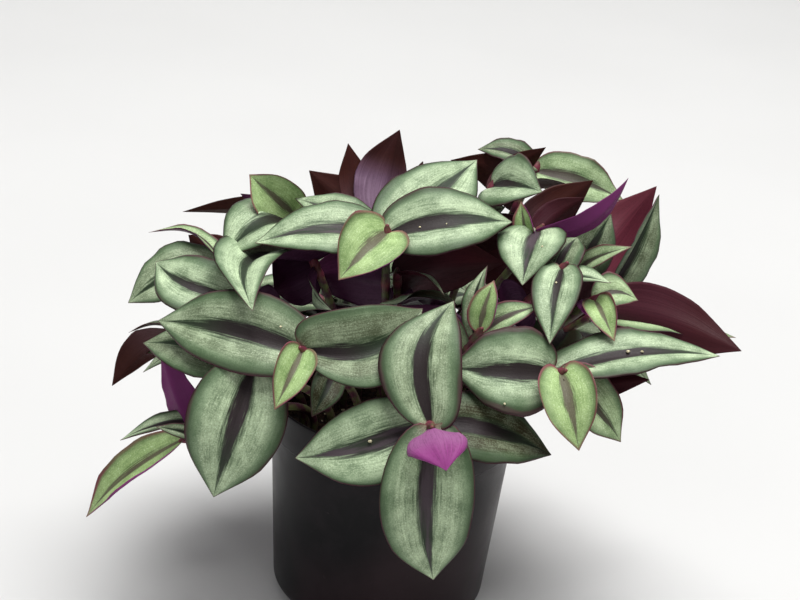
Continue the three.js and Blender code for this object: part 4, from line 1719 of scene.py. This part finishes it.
@dataclass(frozen=True)
class PotPlastic:
    """Thin black moulded plastic with a soft gloss, faint handling marks, pinkish specks of dust and
    pinkish patches that paint a reflection of the leaves.
    """

    black: Colour = srgb(13, 12, 15)
    worn: Colour = srgb(30, 26, 29)
    # Pinkish colour of the painted reflection of the leaves.
    painted_reflection: Colour = srgb(62, 46, 50)
    dust_and_painted_reflection: Colour = srgb(80, 68, 70)

    def material(self) -> bpy.types.Material:
        """Makes the material.

        Returns:
            The material of the pot.
        """
        shader = Shader("pot_plastic")
        spot = shader.spot()
        cloud = shader.noise(spot, 55.0, 4.0, 0.6)
        grain = shader.noise(spot, 2200.0, 2.0, 0.6)
        painted_reflection_patches = shader.noise(spot, 12.0, 1.0)
        specks = shader.noise(spot, 420.0, 3.0, 0.7)
        scuff = shader.noise(self.stretched(shader, spot), 1.0, 3.0, 0.7)
        colour = shader.mix(shader.ramp(cloud, 0.35, 0.75), self.black, self.worn)
        # Painted reflection: broad pinkish patches stand in for the leaves' reflection in the wall.
        colour = shader.mix(shader.ramp(painted_reflection_patches, 0.42, 0.62, 0.0, 0.5), colour, self.painted_reflection)
        colour = shader.mix(shader.ramp(scuff, 0.62, 0.8, 0.0, 0.3), colour, self.worn)
        # Dust specks, tinted pink so that they also help paint the leaves' reflection.
        colour = shader.mix(shader.ramp(specks, 0.66, 0.78, 0.0, 0.3), colour, self.dust_and_painted_reflection)
        shader.bump(shader.plus(grain, shader.times(cloud, 0.8)), 0.00012, 0.35)
        rough = shader.ramp(cloud, 0.3, 0.75, 0.34, 0.46)
        return shader.finish(colour, rough, Specular_IOR_Level=0.16)

    def stretched(self, shader: Shader, spot: object) -> Socket:
        """Gives a place stretched upward, for marks that run down the wall.

        Args:
            shader: The material.
            spot: The place.

        Returns:
            The stretched place.
        """
        parts = shader.node("ShaderNodeSeparateXYZ")
        shader.feed(parts.inputs[0], spot)
        wide = [shader.times(parts.outputs[axis], 300.0) for axis in (0, 1)]
        return shader.vector(wide[0], wide[1], shader.times(parts.outputs[2], 24.0))


@dataclass(frozen=True)
class PottingMix:
    """Damp dark potting mix of peat and bark; its darkness is partly painted shade for the pot's shaded
    inside.
    """

    # Soil colours are dark brown, partly painted shade for the inside of the pot.
    dark: Colour = srgb(28, 20, 16)
    light: Colour = srgb(72, 52, 37)

    def material(self) -> bpy.types.Material:
        """Makes the material.

        Returns:
            The material of the soil and its crumbs.
        """
        shader = Shader("potting_mix")
        coarse = shader.noise(shader.spot(), 260.0, 5.0, 0.7)
        fine = shader.noise(shader.spot(), 1300.0, 3.0, 0.7)
        colour = shader.mix(shader.ramp(coarse, 0.4, 0.7), self.dark, self.light)
        colour = shader.mix(shader.ramp(fine, 0.45, 0.75, 0.0, 0.6), colour, self.dark)
        shader.bump(shader.plus(coarse, shader.times(fine, 0.5)), 0.0012, 0.9)
        return shader.finish(colour, 0.93, Specular_IOR_Level=0.25)


@dataclass(frozen=True)
class Perlite:
    """Cream crumbs of perlite."""

    cream: Colour = srgb(246, 240, 212)
    shade: Colour = srgb(214, 200, 154)

    def material(self) -> bpy.types.Material:
        """Makes the material.

        Returns:
            The material of the crumbs.
        """
        shader = Shader("perlite")
        pits = shader.noise(shader.spot(), 2600.0, 3.0, 0.7)
        colour = shader.mix(shader.ramp(pits, 0.35, 0.7), self.shade, self.cream)
        shader.bump(pits, 0.0003, 0.8)
        return shader.finish(colour, 0.8)


@dataclass(frozen=True)
class PaleGround:
    """The pale paper that the plant stands on."""

    paper: Colour = (0.66, 0.66, 0.66, 1.0)
    fleck: Colour = (0.64, 0.64, 0.64, 1.0)

    def material(self) -> bpy.types.Material:
        """Makes the material.

        Returns:
            The material of the floor and backdrop.
        """
        shader = Shader("pale_ground")
        cloud = shader.noise(shader.spot(), 3.0, 2.0)
        return shader.finish(shader.mix(shader.ramp(cloud, 0.3, 0.7), self.paper, self.fleck), 0.9)


# Sub-assemblies


@dataclass
class Plant:
    """All the leafy stems, one piece for each."""

    leaf_form: LeafForm = field(default_factory=LeafForm)
    stem_form: StemForm = field(default_factory=StemForm)
    seed: int = 7
    stems: list[Stem] = field(default_factory=list)

    def grow(self) -> None:
        """Places every stem and leaf as the solids have them."""
        self.stems = seen_stems() + HiddenStems().stems()
        spread_holes(self.stems)
        for stem in self.stems:
            stem.number_blades()
            stem.settle(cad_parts[stem.name])

    def pieces(self) -> list[bpy.types.Object]:
        """Makes one piece for each stem, with its leaves.

        Returns:
            The pieces.
        """
        materials = [LeafTop().material(), LeafUnderside().material(), StemSkin().material()]
        chance = random.Random(self.seed)
        made = []
        for stem in self.stems:
            parts = MeshParts()
            self.stem_form.add(stem, parts)
            for blade in stem.blades:
                self.leaf_form.add(blade, parts, chance.random())
            piece = parts.piece("leafy_" + stem.name, materials)
            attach(piece, BODY)
            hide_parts(stem.name)
            made.append(piece)
        return made


@dataclass
class Pot:
    """The nursery pot: a thin tapered wall, a stepped rim and a holed base, in millimetres."""

    height: float = 92.0
    top_radius: float = 51.2
    base_radius: float = 45.4
    base_rounding: float = 7.0
    wall: float = 1.6
    rim_depth: float = 16.0
    rim_step: float = 1.4
    sides: int = 144
    holes: int = 6
    hole_radius: float = 4.0
    hole_circle: float = 29.0
    hole_sides: int = 28
    cut_past: float = 2.0
    sharp_from: float = 32.0
    foot_steps: int = 8
    wall_steps: int = 9
    floor_ring: float = 6.0
    band_foot: tuple[Pair, ...] = ((-1.25, 0.3), (-0.35, 1.05), (0.0, 1.8), (0.0, 6.0))
    rim_outside: tuple[Pair, ...] = ((0.0, -2.6), (0.0, -1.0), (-0.12, -0.35), (-0.5, 0.0))
    rim_inside: tuple[Pair, ...] = ((0.5, 0.0), (0.1, -0.35), (0.0, -1.0))

    def profile(self) -> list[Pair]:
        """Gives the wall's section from the middle of the base round to the middle again.

        Returns:
            Points as distance from the axis and height.
        """
        wall_top = self.height - self.rim_depth
        taper = (self.top_radius - self.base_radius) / wall_top
        inner = self.base_radius - self.base_rounding
        points = [(0.0, 0.0), (inner - self.floor_ring, 0.0), (inner, 0.0)]
        for out, rise in quarter_turn(self.base_rounding, self.foot_steps):
            points.append((inner + out + taper * rise, rise))
        for step in range(1, self.wall_steps + 1):
            rise = self.base_rounding + (wall_top - self.base_rounding) * step / self.wall_steps
            points.append((self.base_radius + taper * rise, rise))
        outer = self.top_radius + self.rim_step
        inside = outer - self.wall
        points += [(outer + out, wall_top + up) for out, up in self.band_foot]
        points += [(outer + out, self.height + up) for out, up in self.rim_outside]
        points += [(inside + out, self.height + up) for out, up in self.rim_inside]
        points += [(inside, wall_top + self.rim_step)]
        points += [(self.top_radius - self.wall, wall_top - self.rim_step)]
        points += [(self.base_radius - self.wall + taper * self.base_rounding, self.base_rounding)]
        points += [(inner, self.wall), (0.0, self.wall)]
        return points

    def piece(self) -> bpy.types.Object:
        """Makes the pot.

        Returns:
            The piece.
        """
        pot = turned("nursery_pot", self.profile(), self.sides, PotPlastic().material())
        cutter = self.cutter()
        cut = pot.modifiers.new("drain_holes", "BOOLEAN")
        cut.operation = "DIFFERENCE"
        cut.solver = "EXACT"
        cut.object = cutter
        bake(pot)
        bpy.data.objects.remove(cutter)
        smooth_by_angle(pot, self.sharp_from)
        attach(pot, BODY)
        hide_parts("pot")
        return pot

    def cutter(self) -> bpy.types.Object:
        """Makes the posts that cut the drain holes.

        Returns:
            The posts as one object.
        """
        posts = Forms()
        for hole in range(self.holes):
            angle = 2 * math.pi * hole / self.holes
            centre = polar(angle, self.hole_circle, 0.0)
            line = np.array([centre - [0, 0, self.cut_past], centre + [0, 0, self.wall + self.cut_past]])
            posts.join(*tube(line, np.full(2, self.hole_radius), self.hole_sides))
        return posts.made("drain_posts", [], smooth=False)


def turned(name: str, profile: list[Pair], sides: int, material: bpy.types.Material) -> bpy.types.Object:
    """Turns a section round the upright axis.

    Args:
        name: The piece's name.
        profile: The section, starting and ending on the axis, in mm.
        sides: How many steps a turn has.
        material: The piece's material.

    Returns:
        The piece, in metres.
    """
    rings = profile[1:-1]
    points = [polar(2 * math.pi * side / sides, *ring) for ring in rings for side in range(sides)]
    points += [polar(0.0, *profile[0]), polar(0.0, *profile[-1])]
    return new_piece(name, np.array(points) * METRES, ring_faces(len(rings), sides), [material])


def bake(piece: bpy.types.Object) -> None:
    """Applies a piece's modifiers to its mesh.

    Args:
        piece: The piece.
    """
    bpy.context.view_layer.update()
    seen = piece.evaluated_get(bpy.context.evaluated_depsgraph_get())
    mesh = bpy.data.meshes.new_from_object(seen)
    piece.modifiers.clear()
    piece.data = mesh


def smooth_by_angle(piece: bpy.types.Object, degrees: float) -> None:
    """Shades a piece smooth, but keeps its sharp edges sharp.

    Args:
        piece: The piece.
        degrees: The angle from which an edge is sharp.
    """
    piece.data.shade_smooth()
    piece.data.set_sharp_from_angle(angle=math.radians(degrees))


@dataclass
class Soil:
    """The potting mix: a lumpy fill with crumbs of bark and perlite on it, in millimetres."""

    top: float = 79.0
    crown: float = 3.0
    wall: float = 2.1
    pot_top_radius: float = 51.2
    pot_base_radius: float = 45.4
    rounding: float = 7.0
    bottom: float = 1.9
    wall_end: float = 74.6
    lump: float = 1.5
    lump_scale: float = 0.16
    grain: float = 0.5
    grain_scale: float = 0.5
    sunk: float = 0.6
    edge: float = 1.0
    top_margin: float = 0.01
    rings: int = 34
    sides: int = 110
    bark_crumbs: int = 203
    perlite_crumbs: int = 57
    crumb_reach: float = 48.0
    crumb_sizes: Pair = (0.7, 2.2)
    crumb_rise: float = 0.25
    seed: int = 19

    def height(self, x: float, y: float) -> float:
        """Gives the soil's height at a place.

        Args:
            x: How far right it is.
            y: How far back it is.

        Returns:
            The height.
        """
        outer = self.pot_top_radius - self.wall
        share = min(1.0, math.hypot(x, y) / outer)
        lumps = noise.noise(Vector((x * self.lump_scale, y * self.lump_scale, 3.0)))
        lumps += self.grain * noise.noise(Vector((x * self.grain_scale, y * self.grain_scale, 7.0)))
        return self.top + self.crown * (1 - share**2) + self.lump * lumps * (1 - share**6) - self.sunk

    def piece(self) -> bpy.types.Object:
        """Makes the fill.

        Returns:
            The piece.
        """
        outer = self.pot_top_radius - self.wall
        side = [
            (self.pot_base_radius - self.rounding - self.edge, self.bottom),
            (self.pot_base_radius - self.wall, self.rounding + self.edge),
            (outer, self.wall_end),
            (outer, self.top - self.edge),
        ]
        face = [(outer * (1 - step / self.rings), self.top) for step in range(self.rings)]
        profile = [(0.0, self.bottom)] + side + face + [(0.0, self.top)]
        soil = turned("potting_mix", profile, self.sides, PottingMix().material())
        for vertex in soil.data.vertices:
            x, y, z = vertex.co / METRES
            if z >= self.top - self.top_margin:
                vertex.co.z = self.height(x, y) * METRES
        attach(soil, BODY)
        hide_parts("soil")
        return soil

    def crumb_pieces(self) -> list[bpy.types.Object]:
        """Scatters crumbs of bark and perlite over the soil.

        Returns:
            The bark crumbs and the perlite crumbs, each as one piece.
        """
        chance = random.Random(self.seed)
        made = []
        bark = ("bark_crumbs", self.bark_crumbs, PottingMix())
        perlite = ("perlite_crumbs", self.perlite_crumbs, Perlite())
        for name, count, finish in (bark, perlite):
            crumbs = Crumbs(name, finish.material())
            for _ in range(count):
                angle = chance.uniform(0, 2 * math.pi)
                reach = self.crumb_reach * math.sqrt(chance.random())
                spot = polar(angle, reach, 0.0)
                size = chance.uniform(*self.crumb_sizes)
                spot[2] = self.height(spot[0], spot[1]) + size * self.crumb_rise
                crumbs.add(spot, size, chance)
            made.append(crumbs.piece("potting_mix"))
        return made


@dataclass
class Crumbs:
    """Small angular lumps gathered into one piece."""

    name: str
    material: bpy.types.Material
    lumps: Forms = field(default_factory=Forms)
    uneven: Pair = (0.75, 1.25)

    def add(self, centre: np.ndarray, size: float, chance: random.Random, flat: float = 0.7) -> None:
        """Adds a lump.

        Args:
            centre: Its middle, in mm.
            size: How wide it is, in mm.
            chance: The source of random numbers.
            flat: How flat it is, 1 for round.
        """
        golden = (1 + math.sqrt(5)) / 2
        corners = []
        for one in (-1.0, 1.0):
            for other in (-golden, golden):
                corners += [(0.0, one, other), (one, other, 0.0), (other, 0.0, one)]
        shape = np.array(corners) / math.hypot(1.0, golden) * size / 2
        shape = shape * np.array([[chance.uniform(*self.uneven)] for _ in corners])
        turn = chance.uniform(0, 2 * math.pi)
        spin = Matrix.Rotation(turn, 3, Vector((chance.random(), chance.random(), 1.0)))
        shape = shape @ np.array(spin) * np.array([1.0, 1.0, flat])
        self.lumps.join(shape + centre, hull_faces(np.array(corners)))

    def piece(self, slot: str) -> bpy.types.Object:
        """Makes the lumps into one piece.

        Args:
            slot: Not used; the lumps keep the material they were made with.

        Returns:
            The piece, in metres.
        """
        piece = self.lumps.made(self.name, [self.material], smooth=False)
        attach(piece, BODY)
        return piece


def hull_faces(corners: np.ndarray) -> Faces:
    """Lists the triangles of a regular twenty-sided form.

    Args:
        corners: Its twelve corners.

    Returns:
        The triangles, each seen from outside.
    """
    edge, slack = 2.0, 1.01
    near = np.linalg.norm(corners[:, None] - corners[None, :], axis=2) < edge * slack
    faces = []
    for first in range(len(corners)):
        for second in range(first + 1, len(corners)):
            for third in range(second + 1, len(corners)):
                if near[first, second] and near[second, third] and near[first, third]:
                    face = (first, second, third)
                    outward = np.cross(corners[second] - corners[first], corners[third] - corners[first])
                    faces.append(face if outward @ corners[first] > 0 else face[::-1])
    return faces


@dataclass
class FallenCrumbs:
    """Crumbs of perlite that lie on the leaves.

    Each row names the stem, the leaf's order on it, the share of that leaf's length, the place
    from edge to edge, -1 to 1, and the crumb's size in mm.
    """

    seed: int = 5
    raised: float = 0.28
    step: float = 0.01
    resting: tuple[tuple[str, int, float, float, float], ...] = (
        ("stem_front_centre", 3, 0.42, 0.1, 1.5),
        ("stem_front_centre", 3, 0.28, -0.35, 1.2),
        ("stem_front_left", 2, 0.2, 0.4, 0.9),
        ("stem_top", 1, 0.25, 0.05, 1.0),
        ("stem_top", 1, 0.45, 0.1, 0.8),
        ("stem_right_front", 3, 0.45, -0.1, 1.7),
        ("stem_right_front", 3, 0.53, -0.05, 1.4),
        ("stem_right_front", 1, 0.5, -0.8, 1.0),
        ("stem_right_top", 0, 0.5, -0.4, 0.9),
        ("stem_right_mid_left", 0, 0.3, 0.1, 1.0),
    )

    def piece(self, plant: Plant) -> bpy.types.Object:
        """Lays the crumbs on their leaves.

        Args:
            plant: The plant that carries them.

        Returns:
            The piece.
        """
        chance = random.Random(self.seed)
        crumbs = Crumbs("fallen_perlite", Perlite().material())
        stems = {stem.name: stem for stem in plant.stems}
        for name, order, share, across, size in self.resting:
            blade = next(blade for blade in stems[name].blades if blade.order == order)
            crumbs.add(self.spot(plant.leaf_form, blade, share, across, size), size, chance, flat=0.8)
        return crumbs.piece("potting_mix")

    def spot(self, form: LeafForm, blade: Blade, share: float, across: float, size: float) -> np.ndarray:
        """Gives the place of a crumb on top of a leaf.

        Args:
            form: The leaves' fine form.
            blade: The leaf.
            share: The share of the leaf's length.
            across: The place from edge to edge.
            size: The crumb's size.

        Returns:
            The crumb's middle.
        """
        shares = np.array([share, share + self.step])
        sides = np.array([across, across + self.step])
        grid = form.middle(blade, shares, sides, random.Random(0))
        normal = unit(np.cross(grid[0, 1] - grid[0, 0], grid[1, 0] - grid[0, 0]))
        return grid[0, 0] + normal * (form.thickness / 2 + size * self.raised)


@dataclass
class Studio:
    """The pale floor and backdrop, the soft lights and the picture's brightness, in metres.

    Each light's row gives its name, place, width, power in watts and colour.
    """

    floor_reach: float = 3.0
    wall_distance: float = 1.6
    wall_height: float = 3.0
    bend: float = 0.8
    bend_steps: int = 16
    world_light: float = 0.16
    aim_height: float = 0.12
    lights: tuple[tuple[str, Triple, float, float, Triple], ...] = (
        ("soft_top", (0.25, 0.2, 2.6), 1.9, 98.0, (1.0, 0.995, 0.98)),
        ("soft_front", (-0.7, -1.7, 1.2), 1.2, 7.0, (0.98, 0.99, 1.0)),
    )

    def build(self) -> None:
        """Makes the floor, the backdrop and the lights."""
        self.backdrop()
        for row in self.lights:
            self.light(*row)
        world = bpy.data.worlds.new("studio_air")
        bpy.context.scene.world = world
        world.use_nodes = True
        background = world.node_tree.nodes["Background"]
        background.inputs["Color"].default_value = (1.0, 1.0, 1.0, 1.0)
        background.inputs["Strength"].default_value = self.world_light
        bpy.context.scene.view_settings.view_transform = "Standard"

    def light(self, name: str, place: Triple, size: float, power: float, colour: Triple) -> None:
        """Makes a square soft light that points at the plant.

        Args:
            name: Its name.
            place: Where it hangs, in metres.
            size: Its width, in metres.
            power: Its power, in watts.
            colour: Its colour.
        """
        data = bpy.data.lights.new(name, "AREA")
        data.shape = "SQUARE"
        data.size = size
        data.energy = power
        data.color = colour
        lamp = bpy.data.objects.new(name, data)
        bpy.context.scene.collection.objects.link(lamp)
        lamp.location = place
        aim = Vector((0.0, 0.0, self.aim_height)) - Vector(place)
        lamp.rotation_euler = aim.to_track_quat("-Z", "Y").to_euler()

    def backdrop(self) -> None:
        """Makes the floor, which curves up into the backdrop behind."""
        section = [(-self.floor_reach, 0.0), (self.wall_distance, 0.0)]
        corner = quarter_turn(self.bend, self.bend_steps)
        section += [(self.wall_distance + out, rise) for out, rise in corner]
        section.append((self.wall_distance + self.bend, self.wall_height))
        points = [(side * self.floor_reach, y, z) for y, z in section for side in (-1, 1)]
        faces = [(2 * row, 2 * row + 1, 2 * row + 3, 2 * row + 2) for row in range(len(section) - 1)]
        ground = new_piece("pale_ground", np.array(points), faces, [PaleGround().material()])


def main() -> None:
    """Builds the studio, the plant, the pot and the soil, and reports each piece."""
    logging.basicConfig(level=logging.INFO, format="%(message)s")
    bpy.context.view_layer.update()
    VIEW.make_camera()
    Studio().build()
    plant = Plant()
    plant.grow()
    soil = Soil()
    pieces = [*plant.pieces(), Pot().piece(), soil.piece(), *soil.crumb_pieces()]
    pieces.append(FallenCrumbs().piece(plant))
    for piece in pieces:
        LOG.info("%s: %d faces", piece.name, len(piece.data.polygons))
    bpy.context.view_layer.update()


if __name__ == "__main__":
    main()
